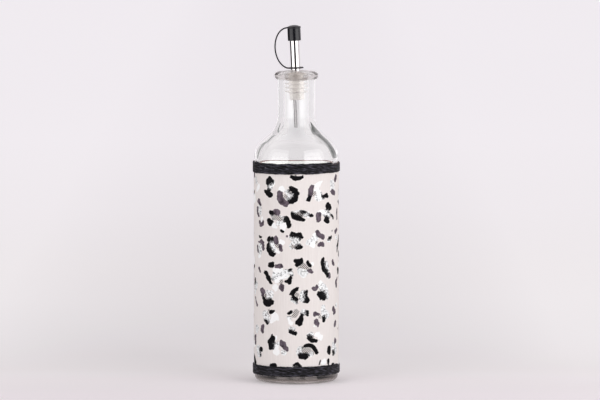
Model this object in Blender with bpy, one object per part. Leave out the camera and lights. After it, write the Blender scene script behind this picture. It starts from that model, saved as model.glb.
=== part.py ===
"""An oil and vinegar bottle: a thick-walled glass bottle in a printed fabric sleeve, twine wound over the
sleeve's two edges, and a push-in pourer with a steel spout, a vent tube and a tethered dust cap.

Metres, +Z up. The origin is the middle of the bottle's foot, on the surface that it stands on, and the
tether's loop points to -X. The pourer stands a little askew in the neck, so all that goes with it hangs
from one leaning empty.
"""

import math

import bmesh
import bpy
from mathutils import Vector
from mathutils.kdtree import KDTree

for leftover in list(bpy.data.objects):
    bpy.data.objects.remove(leftover)

# Room between neighbouring pieces, how far a cutter runs past what it cuts, and the welding distance
GAP = 0.0003
OVERRUN = 0.002
WELD = 0.000002

# Glass bottle
BODY_RADIUS = 0.0326
BODY_TOP = 0.176
WALL = 0.0032
BASE_THICKNESS = 0.0065
HEEL_ROUND = 0.0045
INNER_HEEL_ROUND = 0.0035
PUNT_RADIUS = 0.022
PUNT_DEPTH = 0.0015
SHOULDER_ROUND = 0.0159
SHOULDER_SLOPE_DEGREES = 48.7
INNER_SHOULDER_DROP = 0.004
INNER_SHOULDER_ROUND = 0.018
NECK_RADIUS = 0.0147
NECK_FILLET = 0.0175
NECK_LENGTH = 0.0291
BORE_RADIUS = 0.0094
BORE_FILLET = 0.02
MOUTH_ROUND = 0.0014
RIM_RADIUS = 0.01705
RIM_DOME_WIDTH = 0.0054
RIM_DOME_HEIGHT = 0.0031
RIM_FOOT_HEIGHT = 0.0037

# Fabric sleeve, with its seam at the back
SLEEVE_THICKNESS = 0.0003
SLEEVE_FOOT_MARGIN = 0.0033
SLEEVE_TOP_MARGIN = 0.0055
SEAM_WIDTH = 0.0005
SEAM_DEGREES = 90.0

# Twine wound over each edge of the sleeve
TWINE_WIDTH = 0.00108
TWINE_THICKNESS = 0.0009
TWINE_TURN_GAP = 0.00045
TWINE_INSET = 0.0024
TWINE_LOOPS = 4.5
POINTS_PER_LOOP = 24
TWINE_SIDES = 6
UPPER_END_DEGREES = -35.0
LOWER_END_DEGREES = -18.0

# Pourer: how it stands in the neck
LEAN_DEGREES = -2.5
PIVOT_DEPTH = 0.0094

# Stopper
HEAD_RECESS = 0.0006
HEAD_THICKNESS = 0.0022
HEAD_ROUND = 0.0004
CORE_RADIUS = 0.0059
CORE_TAPER = 0.0002
CORE_CHAMFER = 0.0005
CORE_DEPTH = 0.0218
CORE_FLOOR = 0.0015
STEM_MARGIN = 0.0009
FIN_COUNT = 4
FIN_DEPTH = 0.0064
FIN_PITCH = 0.0031
FIN_ROOT = 0.001
FIN_EDGE = 0.0005
FIN_LIFT = 0.0006
PORT_RADIUS = 0.0014
PORT_EDGE = 0.0006

# Spout and vent tubes
SPOUT_RADIUS = 0.0037
SPOUT_WALL = 0.0004
SPOUT_RISE = 0.0334
LIP_FLARE = 0.00025
LIP_HEIGHT = 0.0008
VENT_RADIUS = 0.0012
VENT_WALL = 0.0004
VENT_DROP = 0.0224
VENT_SET_BACK = 0.0087

# Dust cap
CAP_WALL = 0.0009
CAP_ENGAGEMENT = 0.0092
CAP_ROOF = 0.0027
CAP_DOME = 0.0014
CAP_BEAD = 0.0003
CAP_BEAD_HEIGHT = 0.0009
CAP_MOUTH_CHAMFER = 0.0003

# Tether: the ring round the spout and the strap up to the cap
RING_WIDTH = 0.00225
RING_HEIGHT = 0.0012
RING_ROUND = 0.0005
RING_STAND_OFF = 0.0024
STRAP_WIDTH = 0.0024
STRAP_THICKNESS = 0.0011
STRAP_CHAMFER = 0.0002
STRAP_FOOT_REACH = 0.0134
STRAP_FOOT_DEGREES = 22.5
STRAP_TOP_REACH = 0.0121
STRAP_TOP_DEGREES = 7.5

# Facets
BOTTLE_SEGMENTS = 48
POURER_SEGMENTS = 32
VENT_SEGMENTS = 16
SHOULDER_STEPS = 6
RIM_STEPS = 4
ROUND_STEPS = 3
SMALL_ROUND_STEPS = 2
STRAP_STEPS = 24
SMOOTH_DEGREES = 35.0

HALF_TURN = 180.0
QUARTER_TURN = 90.0
FULL_TURN = 360.0


def polar(radius, degrees):
    """The point at this radius and angle, as two numbers."""
    turn = math.radians(degrees)
    return radius * math.cos(turn), radius * math.sin(turn)


def oval(centre_r, centre_z, width, height, start, end, steps):
    """Points (r, z) along part of an ellipse with these half sizes, both ends included. Angles are in degrees."""
    points = []
    for step in range(steps + 1):
        across, up = polar(1, start + (end - start) * step / steps)
        points.append((centre_r + width * across, centre_z + height * up))
    return points


def arc(centre_r, centre_z, radius, start, end, steps):
    """Points (r, z) along part of a circle, both ends included."""
    return oval(centre_r, centre_z, radius, radius, start, end, steps)


def shoulder(centre_r, centre_z, radius, neck_radius, fillet):
    """Points (r, z) from the straight side's top to the neck's start: a round, a slope and a fillet."""
    slope = SHOULDER_SLOPE_DEGREES
    rounded = arc(centre_r, centre_z, radius, 0, slope, SHOULDER_STEPS)
    start_r, start_z = rounded[-1]
    across, down = polar(fillet, slope)
    end_r = neck_radius + fillet - across
    end_z = start_z + (start_r - end_r) / math.tan(math.radians(slope))
    flared = arc(neck_radius + fillet, end_z + down, fillet, HALF_TURN + slope, HALF_TURN, SHOULDER_STEPS)
    return rounded + flared


# Heights and radii that follow from the sizes above
outer_shoulder = shoulder(BODY_RADIUS - SHOULDER_ROUND, BODY_TOP, SHOULDER_ROUND, NECK_RADIUS, NECK_FILLET)
inner_round_r = BODY_RADIUS - WALL - INNER_SHOULDER_ROUND
inner_round_z = BODY_TOP - INNER_SHOULDER_DROP
inner_shoulder = shoulder(inner_round_r, inner_round_z, INNER_SHOULDER_ROUND, BORE_RADIUS, BORE_FILLET)
rim_bottom = outer_shoulder[-1][1] + NECK_LENGTH
rim_middle = rim_bottom + RIM_FOOT_HEIGHT
mouth = rim_middle + RIM_DOME_HEIGHT
sleeve_inner = BODY_RADIUS + GAP
sleeve_outer = sleeve_inner + SLEEVE_THICKNESS
sleeve_bottom = HEEL_ROUND + SLEEVE_FOOT_MARGIN
sleeve_top = BODY_TOP - SLEEVE_TOP_MARGIN

# Heights along the leaning axis count from the pivot
head_top = PIVOT_DEPTH - HEAD_RECESS
core_bottom = head_top - CORE_DEPTH
core_floor_top = core_bottom + CORE_FLOOR
seat_radius = SPOUT_RADIUS + GAP
spout_bottom = core_floor_top + GAP
spout_tip = head_top + SPOUT_RISE
vent_offset = SPOUT_RADIUS - SPOUT_WALL - GAP - VENT_RADIUS
cap_inner = SPOUT_RADIUS + LIP_FLARE + GAP
cap_outer = cap_inner + CAP_WALL
cap_bottom = spout_tip - CAP_ENGAGEMENT
cap_ceiling = spout_tip + GAP
cap_shoulder = cap_ceiling + CAP_ROOF - CAP_DOME
ring_bottom = head_top + RING_STAND_OFF
ring_outer = seat_radius + RING_WIDTH


def material(name, colour, roughness, metallic=0.0, transmission=0.0):
    made = bpy.data.materials.new(name)
    made.use_nodes = True
    shader = made.node_tree.nodes["Principled BSDF"]
    shader.inputs["Base Color"].default_value = (*colour, 1.0)
    shader.inputs["Roughness"].default_value = roughness
    shader.inputs["Metallic"].default_value = metallic
    shader.inputs["Transmission Weight"].default_value = transmission
    made.diffuse_color = (*colour, 1.0)
    return made


def solid(name, mesh_data, finish=None, parent=None):
    """An object from a bmesh, with its faces out, smooth where it is round."""
    bmesh.ops.remove_doubles(mesh_data, verts=mesh_data.verts, dist=WELD)
    bmesh.ops.recalc_face_normals(mesh_data, faces=mesh_data.faces)
    mesh = bpy.data.meshes.new(name)
    mesh_data.to_mesh(mesh)
    mesh_data.free()
    mesh.shade_smooth()
    mesh.set_sharp_from_angle(angle=math.radians(SMOOTH_DEGREES))
    made = bpy.data.objects.new(name, mesh)
    bpy.context.scene.collection.objects.link(made)
    made.parent = parent
    if finish:
        mesh.materials.append(finish)
    return made


def turned(name, outline, segments, finish=None, parent=None, closed=True):
    """A round piece from its outline (r, z), turned about its own Z axis."""
    mesh_data = bmesh.new()
    verts = [mesh_data.verts.new((r, 0, z)) for r, z in outline]
    pairs = list(zip(verts, verts[1:]))
    if closed:
        pairs.append((verts[-1], verts[0]))
    edges = [mesh_data.edges.new(pair) for pair in pairs]
    bmesh.ops.spin(
        mesh_data,
        geom=verts + edges,
        cent=(0, 0, 0),
        axis=(0, 0, 1),
        angle=math.radians(FULL_TURN),
        steps=segments,
    )
    return solid(name, mesh_data, finish, parent)


def swept(name, rings, finish=None, parent=None):
    """A piece through a row of like rings of points, closed at both ends."""
    mesh_data = bmesh.new()
    rows = [[mesh_data.verts.new(point) for point in ring] for ring in rings]
    count = len(rows[0])
    for row, following in zip(rows, rows[1:]):
        for k in range(count):
            around = (k + 1) % count
            mesh_data.faces.new((row[k], row[around], following[around], following[k]))
    mesh_data.faces.new(rows[0])
    mesh_data.faces.new(rows[-1])
    return solid(name, mesh_data, finish, parent)


def cutter(made):
    made.hide_render = True
    made.display_type = "WIRE"
    return made


def boolean(target, other, operation):
    step = target.modifiers.new(f"{operation} {other.name}", "BOOLEAN")
    step.operation = operation
    step.solver = "EXACT"
    step.object = other


def glass_bottle(finish):
    heel_r = BODY_RADIUS - HEEL_ROUND
    inner_r = BODY_RADIUS - WALL
    inner_heel_z = BASE_THICKNESS + INNER_HEEL_ROUND
    dome_r = RIM_RADIUS - RIM_DOME_WIDTH
    foot_width = RIM_RADIUS - NECK_RADIUS
    inside = [(0, BASE_THICKNESS)]
    inside += arc(inner_r - INNER_HEEL_ROUND, inner_heel_z, INNER_HEEL_ROUND, -QUARTER_TURN, 0, ROUND_STEPS)
    inside += inner_shoulder
    edge_r = BORE_RADIUS + MOUTH_ROUND
    inside += arc(edge_r, mouth - MOUTH_ROUND, MOUTH_ROUND, HALF_TURN, QUARTER_TURN, ROUND_STEPS)
    outside = oval(dome_r, rim_middle, RIM_DOME_WIDTH, RIM_DOME_HEIGHT, QUARTER_TURN, 0, RIM_STEPS)
    outside += oval(NECK_RADIUS, rim_middle, foot_width, RIM_FOOT_HEIGHT, 0, -QUARTER_TURN, RIM_STEPS)
    outside += reversed(outer_shoulder)
    outside += arc(heel_r, HEEL_ROUND, HEEL_ROUND, 0, -QUARTER_TURN, ROUND_STEPS)
    punt_shares = (1.0, 0.75, 0.5, 0.25, 0.0)
    punt = [(PUNT_RADIUS * share, PUNT_DEPTH * (1 - share**2)) for share in punt_shares]
    return turned("glass_bottle", inside + outside + punt, BOTTLE_SEGMENTS, finish, closed=False)


def fabric_sleeve(finish):
    """A sheet bent round the body, whose two upright edges meet at the seam."""
    half_seam = math.degrees(SEAM_WIDTH / 2 / sleeve_outer)
    rings = []
    for step in range(BOTTLE_SEGMENTS + 1):
        opened = FULL_TURN - 2 * half_seam
        degrees = SEAM_DEGREES + half_seam + opened * step / BOTTLE_SEGMENTS
        near = polar(sleeve_inner, degrees)
        far = polar(sleeve_outer, degrees)
        rings.append([(*near, sleeve_bottom), (*far, sleeve_bottom), (*far, sleeve_top), (*near, sleeve_top)])
    return swept("fabric_sleeve", rings, finish)


def twine_ring(middle, outward):
    """The twine's flattened section at one point: wider along Z than it is thick."""
    ring = []
    for k in range(TWINE_SIDES):
        up, out = polar(1, FULL_TURN * k / TWINE_SIDES)
        ring.append(middle + outward * (TWINE_THICKNESS / 2 * out) + Vector((0, 0, TWINE_WIDTH / 2 * up)))
    return ring


def least_gap(rings):
    """The least distance between points of one turn and those of the next."""
    apart = POINTS_PER_LOOP // 2
    tree = KDTree(len(rings) * TWINE_SIDES)
    for i, ring in enumerate(rings):
        for k, point in enumerate(ring):
            tree.insert(point, i * TWINE_SIDES + k)
    tree.balance()
    least = sleeve_outer
    for i, ring in enumerate(rings):
        for point in ring:
            near = tree.find_range(point, 2 * TWINE_WIDTH)
            others = [far for _, index, far in near if abs(index // TWINE_SIDES - i) > apart]
            least = min([least, *others])
    return least


def twine_band(name, middle_z, end_degrees, finish):
    """One unbroken length of twine in a rising winding, whose two ends run off straight."""
    pitch = TWINE_WIDTH + TWINE_TURN_GAP
    half_step = math.radians(HALF_TURN / POINTS_PER_LOOP)
    radius = (sleeve_outer + GAP + TWINE_THICKNESS / 2) / math.cos(half_step)
    count = round(TWINE_LOOPS * POINTS_PER_LOOP)
    rings = []
    for step in range(count + 1):
        degrees = end_degrees + FULL_TURN * (step - count) / POINTS_PER_LOOP
        outward = Vector((*polar(1, degrees), 0))
        middle = outward * radius
        middle.z = middle_z + pitch * (step - count / 2) / POINTS_PER_LOOP
        rings.append(twine_ring(middle, outward))
        if step in (0, count):
            along = Vector((*polar(1, degrees + QUARTER_TURN), 0))
            straight = along * (TWINE_WIDTH if step else -TWINE_WIDTH)
            rings.insert(len(rings) - (step == 0), twine_ring(middle + straight, outward))
    print(f"{name}: least gap between turns {least_gap(rings) * 1000:.2f} mm")
    return swept(name, rings, finish)


def fin(top):
    """One flexible fin's outline, from its root's upper corner to its lower one, lifted at its edge."""
    stem = CORE_RADIUS - STEM_MARGIN
    edge = BORE_RADIUS - GAP
    edge_top = top + FIN_LIFT
    return [(stem, top), (edge, edge_top), (edge, edge_top - FIN_EDGE), (stem, top - FIN_ROOT)]


def stopper(finish, lean):
    """A head and fins that fill the bore, on a core that leans with the spout and is bored out for it."""
    stem = CORE_RADIUS - STEM_MARGIN
    edge = BORE_RADIUS - GAP
    top = head_top
    outline = [(0, top)]
    outline += arc(edge - HEAD_ROUND, top - HEAD_ROUND, HEAD_ROUND, QUARTER_TURN, 0, SMALL_ROUND_STEPS)
    outline += [(edge, top - HEAD_THICKNESS), (stem, top - HEAD_THICKNESS)]
    for k in range(FIN_COUNT):
        outline += fin(top - FIN_DEPTH - FIN_PITCH * k)
    outline.append((0, outline[-1][1]))
    body = turned("stopper", outline, POURER_SEGMENTS, finish, closed=False)
    body.location.z = mouth - PIVOT_DEPTH

    foot = CORE_RADIUS - CORE_TAPER
    core_top = head_top - HEAD_THICKNESS / 2
    core_outline = [
        (0, core_top),
        (CORE_RADIUS, core_top),
        (foot, core_bottom + CORE_CHAMFER),
        (foot - CORE_CHAMFER, core_bottom),
        (0, core_bottom),
    ]
    core = cutter(turned("stopper core", core_outline, POURER_SEGMENTS, parent=lean, closed=False))
    boolean(body, core, "UNION")

    def bore(name, radius, offset, low, high):
        outline = [(0, high), (radius, high), (radius, low), (0, low)]
        made = cutter(turned(name, outline, POURER_SEGMENTS, parent=lean, closed=False))
        made.location.x = offset
        boolean(body, made, "DIFFERENCE")

    under = core_bottom - OVERRUN
    inside = core_floor_top + OVERRUN
    bore("spout seat", seat_radius, 0, core_floor_top, head_top + OVERRUN)
    bore("vent hole", VENT_RADIUS + GAP, -vent_offset, under, inside)
    bore("pouring port", PORT_RADIUS, seat_radius - PORT_EDGE - PORT_RADIUS, under, inside)
    return body


def spout_tube(finish, lean):
    """A thin steel tube with a small flared lip at its tip."""
    inner = SPOUT_RADIUS - SPOUT_WALL
    flare_z = spout_tip - LIP_HEIGHT
    outline = [
        (SPOUT_RADIUS, spout_bottom),
        (SPOUT_RADIUS, flare_z),
        (SPOUT_RADIUS + LIP_FLARE, spout_tip - LIP_FLARE),
        (SPOUT_RADIUS + LIP_FLARE, spout_tip),
        (inner + LIP_FLARE, spout_tip),
        (inner, flare_z),
        (inner, spout_bottom),
    ]
    return turned("spout_tube", outline, POURER_SEGMENTS, finish, lean)


def vent_tube(finish, lean):
    """Lets air into the bottle while it pours: it runs up beside the spout's wall."""
    low = core_bottom - VENT_DROP
    high = spout_tip - VENT_SET_BACK
    inner = VENT_RADIUS - VENT_WALL
    outline = [(VENT_RADIUS, low), (VENT_RADIUS, high), (inner, high), (inner, low)]
    made = turned("vent_tube", outline, VENT_SEGMENTS, finish, lean)
    made.location.x = -vent_offset
    return made


def dust_cap(finish, lean):
    """A domed rubber thimble, with a low bead round its top edge where the strap springs from."""
    beaded = cap_outer + CAP_BEAD
    bead_z = cap_shoulder - CAP_BEAD_HEIGHT
    sphere = (beaded**2 + CAP_DOME**2) / (2 * CAP_DOME)
    dome_shares = (0.0, 0.25, 0.45, 0.65, 0.85, 1.0)
    outline = []
    for share in dome_shares:
        r = beaded * share
        outline.append((r, cap_shoulder + CAP_DOME - sphere + math.sqrt(sphere**2 - r**2)))
    outline += [
        (beaded, bead_z),
        (cap_outer, bead_z - CAP_BEAD),
        (cap_outer, cap_bottom + CAP_MOUTH_CHAMFER),
        (cap_outer - CAP_MOUTH_CHAMFER, cap_bottom),
        (cap_inner, cap_bottom),
        (cap_inner, cap_ceiling),
        (0, cap_ceiling),
    ]
    return turned("dust_cap", outline, POURER_SEGMENTS, finish, lean, closed=False)


def tether_ring(finish, lean):
    """A rounded collar that turns freely on the spout."""
    low = ring_bottom + RING_ROUND
    high = ring_bottom + RING_HEIGHT - RING_ROUND
    rounded_r = ring_outer - RING_ROUND
    outline = arc(rounded_r, high, RING_ROUND, QUARTER_TURN, 0, ROUND_STEPS)
    outline += arc(rounded_r, low, RING_ROUND, 0, -QUARTER_TURN, ROUND_STEPS)
    outline += [(seat_radius, ring_bottom), (seat_radius, ring_bottom + RING_HEIGHT)]
    return turned("tether_ring", outline, POURER_SEGMENTS, finish, lean)


def strap_section():
    """Half sizes across the strap and along its width, as a rectangle with cut corners."""
    thick = STRAP_THICKNESS / 2
    wide = STRAP_WIDTH / 2
    corner_thick = thick - STRAP_CHAMFER
    corner_wide = wide - STRAP_CHAMFER
    quarter = [(thick, corner_wide), (corner_thick, wide)]
    half = quarter + [(-thick_side, wide_side) for thick_side, wide_side in reversed(quarter)]
    return half + [(-thick_side, -wide_side) for thick_side, wide_side in half]


def cap_strap(finish, lean):
    """A flat strap that bows out from the ring and in to the cap, along a cubic curve.

    Each end leaves its piece at an angle, and is cut flat to lie against it.
    """
    foot_across, foot_rise = polar(STRAP_FOOT_REACH, STRAP_FOOT_DEGREES)
    top_across, top_drop = polar(STRAP_TOP_REACH, STRAP_TOP_DEGREES)
    start = Vector((-ring_outer - GAP, 0, ring_bottom + RING_HEIGHT / 2))
    end = Vector((-cap_outer - CAP_BEAD - GAP, 0, cap_shoulder - STRAP_THICKNESS / 2))
    leave = start + Vector((-foot_across, 0, foot_rise))
    arrive = end + Vector((-top_across, 0, -top_drop))
    section = strap_section()
    rings = []
    for step in range(STRAP_STEPS + 1):
        t = step / STRAP_STEPS
        s = 1 - t
        middle = start * s**3 + leave * (3 * s * s * t) + arrive * (3 * s * t * t) + end * t**3
        along = (leave - start) * (s * s) + (arrive - leave) * (2 * s * t) + (end - arrive) * (t * t)
        if step in (0, STRAP_STEPS):
            along.z = 0
        along.normalize()
        outward = Vector((along.z, 0, -along.x))
        rings.append([middle + outward * thick + Vector((0, wide, 0)) for thick, wide in section])
    return swept("cap_strap", rings, finish, lean)


glass = material("clear glass", (0.93, 0.95, 0.94), 0.02, transmission=1.0)
fabric = material("printed fabric", (0.80, 0.74, 0.70), 0.85)
twine = material("black paper twine", (0.018, 0.018, 0.021), 0.75)
plastic = material("milky plastic", (0.78, 0.76, 0.72), 0.35, transmission=0.3)
steel = material("polished steel", (0.75, 0.74, 0.73), 0.12, metallic=1.0)
clear_plastic = material("clear plastic", (0.75, 0.72, 0.68), 0.25, transmission=0.5)
black_rubber = material("black soft plastic", (0.02, 0.02, 0.024), 0.4)

glass_bottle(glass)
fabric_sleeve(fabric)
twine_band("upper_twine_band", sleeve_top - TWINE_INSET, UPPER_END_DEGREES, twine)
twine_band("lower_twine_band", sleeve_bottom + TWINE_INSET, LOWER_END_DEGREES, twine)

pourer_axis = bpy.data.objects.new("pourer axis", None)
bpy.context.scene.collection.objects.link(pourer_axis)
pourer_axis.location.z = mouth - PIVOT_DEPTH
pourer_axis.rotation_euler.y = math.radians(LEAN_DEGREES)

stopper(plastic, pourer_axis)
spout_tube(steel, pourer_axis)
vent_tube(clear_plastic, pourer_axis)
dust_cap(black_rubber, pourer_axis)
tether_ring(black_rubber, pourer_axis)
cap_strap(black_rubber, pourer_axis)
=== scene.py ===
# %% [markdown]
# # A glass oil and vinegar bottle in a printed sleeve
#
# The object is a 500 ml bottle of thick clear glass. A sheet of leopard-print fabric is glued round its straight side,
# black paper twine is wound over the fabric's two edges, and a push-in pourer stands a little askew in the neck. This
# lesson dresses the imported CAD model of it, piece by piece, and explains each piece and each finish on the way.
#
# The CAD model is loaded first. It holds the true sizes, and every piece made here is placed by them. Lengths are in
# metres, or in millimetres where a name ends in MM, with +Z up and the viewer looking along +Y.

import math
import random

import bmesh
import bpy
import numpy as np
from mathutils import Matrix, Vector


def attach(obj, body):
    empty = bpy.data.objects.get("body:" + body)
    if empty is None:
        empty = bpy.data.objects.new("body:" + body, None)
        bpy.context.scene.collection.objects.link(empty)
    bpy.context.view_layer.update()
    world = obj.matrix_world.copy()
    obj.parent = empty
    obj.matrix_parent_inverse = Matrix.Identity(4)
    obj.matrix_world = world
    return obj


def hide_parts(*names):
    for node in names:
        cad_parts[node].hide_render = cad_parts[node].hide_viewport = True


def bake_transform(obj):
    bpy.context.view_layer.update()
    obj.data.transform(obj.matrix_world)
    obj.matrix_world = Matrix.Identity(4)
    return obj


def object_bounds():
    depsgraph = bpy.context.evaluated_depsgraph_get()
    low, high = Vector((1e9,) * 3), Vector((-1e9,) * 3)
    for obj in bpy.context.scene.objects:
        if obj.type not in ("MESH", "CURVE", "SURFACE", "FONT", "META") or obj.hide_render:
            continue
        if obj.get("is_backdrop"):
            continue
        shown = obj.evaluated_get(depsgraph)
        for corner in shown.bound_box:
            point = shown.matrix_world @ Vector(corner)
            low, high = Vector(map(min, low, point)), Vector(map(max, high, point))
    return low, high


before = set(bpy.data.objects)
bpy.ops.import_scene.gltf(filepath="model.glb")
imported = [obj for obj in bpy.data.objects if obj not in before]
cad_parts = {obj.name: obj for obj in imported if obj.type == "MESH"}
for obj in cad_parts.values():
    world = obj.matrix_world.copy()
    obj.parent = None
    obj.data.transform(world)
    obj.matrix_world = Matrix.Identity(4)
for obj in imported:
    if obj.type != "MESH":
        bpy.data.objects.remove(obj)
cad_low, cad_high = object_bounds()
MM = 0.001
print("CAD box in mm:", [round((high - low) / MM, 1) for low, high in zip(cad_low, cad_high)])

# %% [markdown]
# A few helpers serve every material and piece. Colours are written as sRGB hex, the way a colour picker shows them,
# and shaders want linear light, so one function turns the first into the second. Shader graphs are built from nodes,
# and one small function adds a node. What it is given fills the node's open inputs in order, or by name with _ for a
# space: a number, a hex colour, another node, whose first open output it takes, or one output of a node. Other names
# are the node's own settings, and stops are the places and colours along a colour ramp. A map range, for example, is
# given its value, the two ends of the range that it comes from, and then the two ends of the range that it goes to.

# %% Colour and node helpers
def linear(hex_colour):
    """An sRGB hex colour as the linear red, green, blue and alpha that a shader takes."""
    parts = [int(hex_colour[at : at + 2], 16) / 255 for at in (1, 3, 5)]
    light = [part / 12.92 if part <= 0.04045 else ((part + 0.055) / 1.055) ** 2.4 for part in parts]
    return (*light, 1.0)


def fill_inputs(node, *values, **named):
    """Sets or links a node's inputs, in order or by name."""
    sockets = [socket for socket in node.inputs if socket.enabled][: len(values)]
    sockets += [node.inputs[name.replace("_", " ")] for name in named]
    for socket, value in zip(sockets, (*values, *named.values())):
        if isinstance(value, bpy.types.Node):
            value = next(output for output in value.outputs if output.enabled)
        if isinstance(value, bpy.types.NodeSocket):
            node.id_data.links.new(value, socket)
        else:
            socket.default_value = linear(value) if isinstance(value, str) else value


def add_node(tree, kind, *values, stops=(), **named):
    """Adds one node with its settings and its links."""
    node = tree.nodes.new("ShaderNode" + kind)
    for name in [name for name in named if hasattr(node, name)]:
        setattr(node, name, named.pop(name))
    fill_inputs(node, *values, **named)
    for number, (position, colour) in enumerate(stops):
        elements = node.color_ramp.elements
        is_end = number in (0, len(stops) - 1)
        stop = elements[-1 if number else 0] if is_end else elements.new(position)
        stop.position = position
        stop.color = linear(colour) if isinstance(colour, str) else colour
    return node


def new_material(name, **settings):
    """A material with the Principled shader, and that shader's constant settings."""
    material = bpy.data.materials.new(name)
    material.use_nodes = True
    shader = material.node_tree.nodes["Principled BSDF"]
    fill_inputs(shader, **settings)
    return material, material.node_tree, shader


def put_in_scene(name, data):
    """A new object with this mesh, lamp or camera."""
    made = bpy.data.objects.new(name, data)
    bpy.context.scene.collection.objects.link(made)
    return made


def store_values(mesh, **values):
    """Stores a number for every point of a mesh under each name, for a shader to read."""
    for name, numbers in values.items():
        mesh.attributes.new(name, "FLOAT", "POINT").data.foreach_set("value", numbers)


print("mid grey #808080 is", round(linear("#808080")[0], 3), "in linear light")

# %% [markdown]
# The photograph was taken with a long lens from about half a metre above the table and nearly four metres away, so the
# bottle's sides look upright and its round edges look like thin ellipses. The camera stands there and looks slightly
# down. The lens is chosen so that the bottle fills the same share of the frame.

# %% Camera
CAMERA_AWAY = 3.75
CAMERA_HEIGHT = 0.45
CAMERA_LENS_MM = 288.8
SENSOR_MM = 36.0
AIM = Vector((0.0029, 0.0, 0.1416))

scene = bpy.context.scene
camera_data = bpy.data.cameras.new("camera")
camera_data.lens = CAMERA_LENS_MM
camera_data.sensor_width = SENSOR_MM
camera = put_in_scene("camera", camera_data)
camera.location = (AIM.x, -CAMERA_AWAY, CAMERA_HEIGHT)
camera.rotation_euler = (AIM - camera.location).to_track_quat("-Z", "Y").to_euler()
scene.camera = camera
print("camera looks down", round(math.degrees(math.atan2(CAMERA_HEIGHT - AIM.z, CAMERA_AWAY)), 2), "degrees")

# %% [markdown]
# Glass and steel show the room more than themselves, so the lights are made first. The steel spout in the photograph
# reflects two bright upright shapes with a dark gap between them: two soft boxes, one on each side in front. Area
# lamps do the same here, and the right one is the stronger, as the fabric is brighter on its right. They stand close
# and reach the table, because a level spout seen from slightly above mirrors what is low down.

# %% Soft boxes
def stand_at(azimuth, away):
    """The way to a place on the floor, this many degrees to the right of the camera's side of the bottle."""
    turn = math.radians(azimuth)
    return Vector((math.sin(turn) * away, -math.cos(turn) * away, 0))


BOX_AWAY, BOX_HEIGHT, BOX_MIDDLE = 1.15, 1.26, 0.64
for name, azimuth, width, watts in (("left soft box", -52.0, 1.28, 7.3), ("right soft box", 53.0, 1.30, 10.8)):
    lamp = bpy.data.lights.new(name, "AREA")
    lamp.shape = "RECTANGLE"
    lamp.size, lamp.size_y = width, BOX_HEIGHT
    lamp.energy = watts
    soft_box = put_in_scene(name, lamp)
    way_in = -stand_at(azimuth, BOX_AWAY)
    soft_box.location = Vector((0, 0, BOX_MIDDLE)) - way_in
    soft_box.rotation_euler = way_in.to_track_quat("-Z", "Y").to_euler()
    print(name, "gives", watts, "W")

# %% [markdown]
# Cards stand for the rest of the studio. Two dark ones show in reflections only, and draw the dark lines in the steel
# and the rim. Two grey ones show through the glass only: the photograph has a grey band along the shoulder's right side
# and a thin line along its left. A ray that gets caught in the thick rim turns many times before it comes out, and
# Blender's usual limit would paint it black there, so the limit is raised.

# %% Studio cards
RAY_TURNS = 32
for name, azimuth, away, width, low, high, colour, in_glass in (
    ("dark front of the studio", 2.0, 1.3, 1.1, 0.002, 2.2, "#1C1B1D", False),
    ("dark left of the studio", -120.0, 1.2, 1.5, 0.002, 1.2, "#2A282A", False),
    ("grey right of the studio", 157.0, 2.6, 2.5, 0.7, 3.2, "#8A8F8C", True),
    ("grey stand left of the studio", -150.0, 2.6, 0.45, 0.6, 3.2, "#E2E6E4", True),
):
    middle, side = stand_at(azimuth, away), stand_at(azimuth + 90, width / 2)
    corners = ((middle - side, low), (middle + side, low), (middle + side, high), (middle - side, high))
    card_mesh = bpy.data.meshes.new(name)
    card_mesh.from_pydata([corner + Vector((0, 0, rise)) for corner, rise in corners], [], [(0, 1, 2, 3)])
    card_mesh.materials.append(new_material(name, Base_Color=colour, Roughness=0.9)[0])
    card = put_in_scene(name, card_mesh)
    card.visible_camera = card.visible_diffuse = card.visible_shadow = False
    card.visible_transmission = in_glass
    card.visible_glossy = not in_glass
    card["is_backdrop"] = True
    print(name, "is", width, "m wide")
for limit in ("max_bounces", "glossy_bounces", "transmission_bounces", "transparent_max_bounces"):
    setattr(scene.cycles, limit, RAY_TURNS)

# %% [markdown]
# The world gives the even fill of a pale room. Lamps and fill together light a white surface to just about white. The
# camera sees the room in its own pale tone, and metal and rubber see it darker towards the camera's side.

# %% Fill
ROOM_FILL = 0.42

world = bpy.data.worlds.new("pale studio")
scene.world = world
world.use_nodes = True
sky = world.node_tree
fill = sky.nodes["Background"]
fill_inputs(fill, "#FFFFFF", ROOM_FILL)


def seen_rays(tree):
    """1 for the rays that show a place to the camera, straight or by way of metal or glass, and 0 for light's own."""
    path = add_node(tree, "LightPath").outputs
    straight_or_metal = add_node(tree, "Math", path["Is Camera Ray"], path["Is Glossy Ray"], operation="MAXIMUM")
    return add_node(tree, "Math", straight_or_metal, path["Is Transmission Ray"], operation="MAXIMUM")


sky_way = add_node(sky, "SeparateXYZ", add_node(sky, "TexCoord").outputs["Generated"])
sky_share = add_node(sky, "MapRange", sky_way.outputs["Y"], -1.0, 1.0)
sky_tone = add_node(sky, "ValToRGB", sky_share, stops=((0.35, "#6B696B"), (0.6, "#F2ECF0")))
in_metal = add_node(sky, "LightPath").outputs["Is Glossy Ray"]
sky_seen = add_node(sky, "Mix", in_metal, "#EFEBEE", sky_tone, data_type="RGBA")
room = add_node(sky, "MixShader", seen_rays(sky), fill, add_node(sky, "Background", sky_seen, 1.0))
fill_inputs(sky.nodes["World Output"], room)
scene.view_settings.view_transform = "Standard"
print("room fill", ROOM_FILL)

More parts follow.
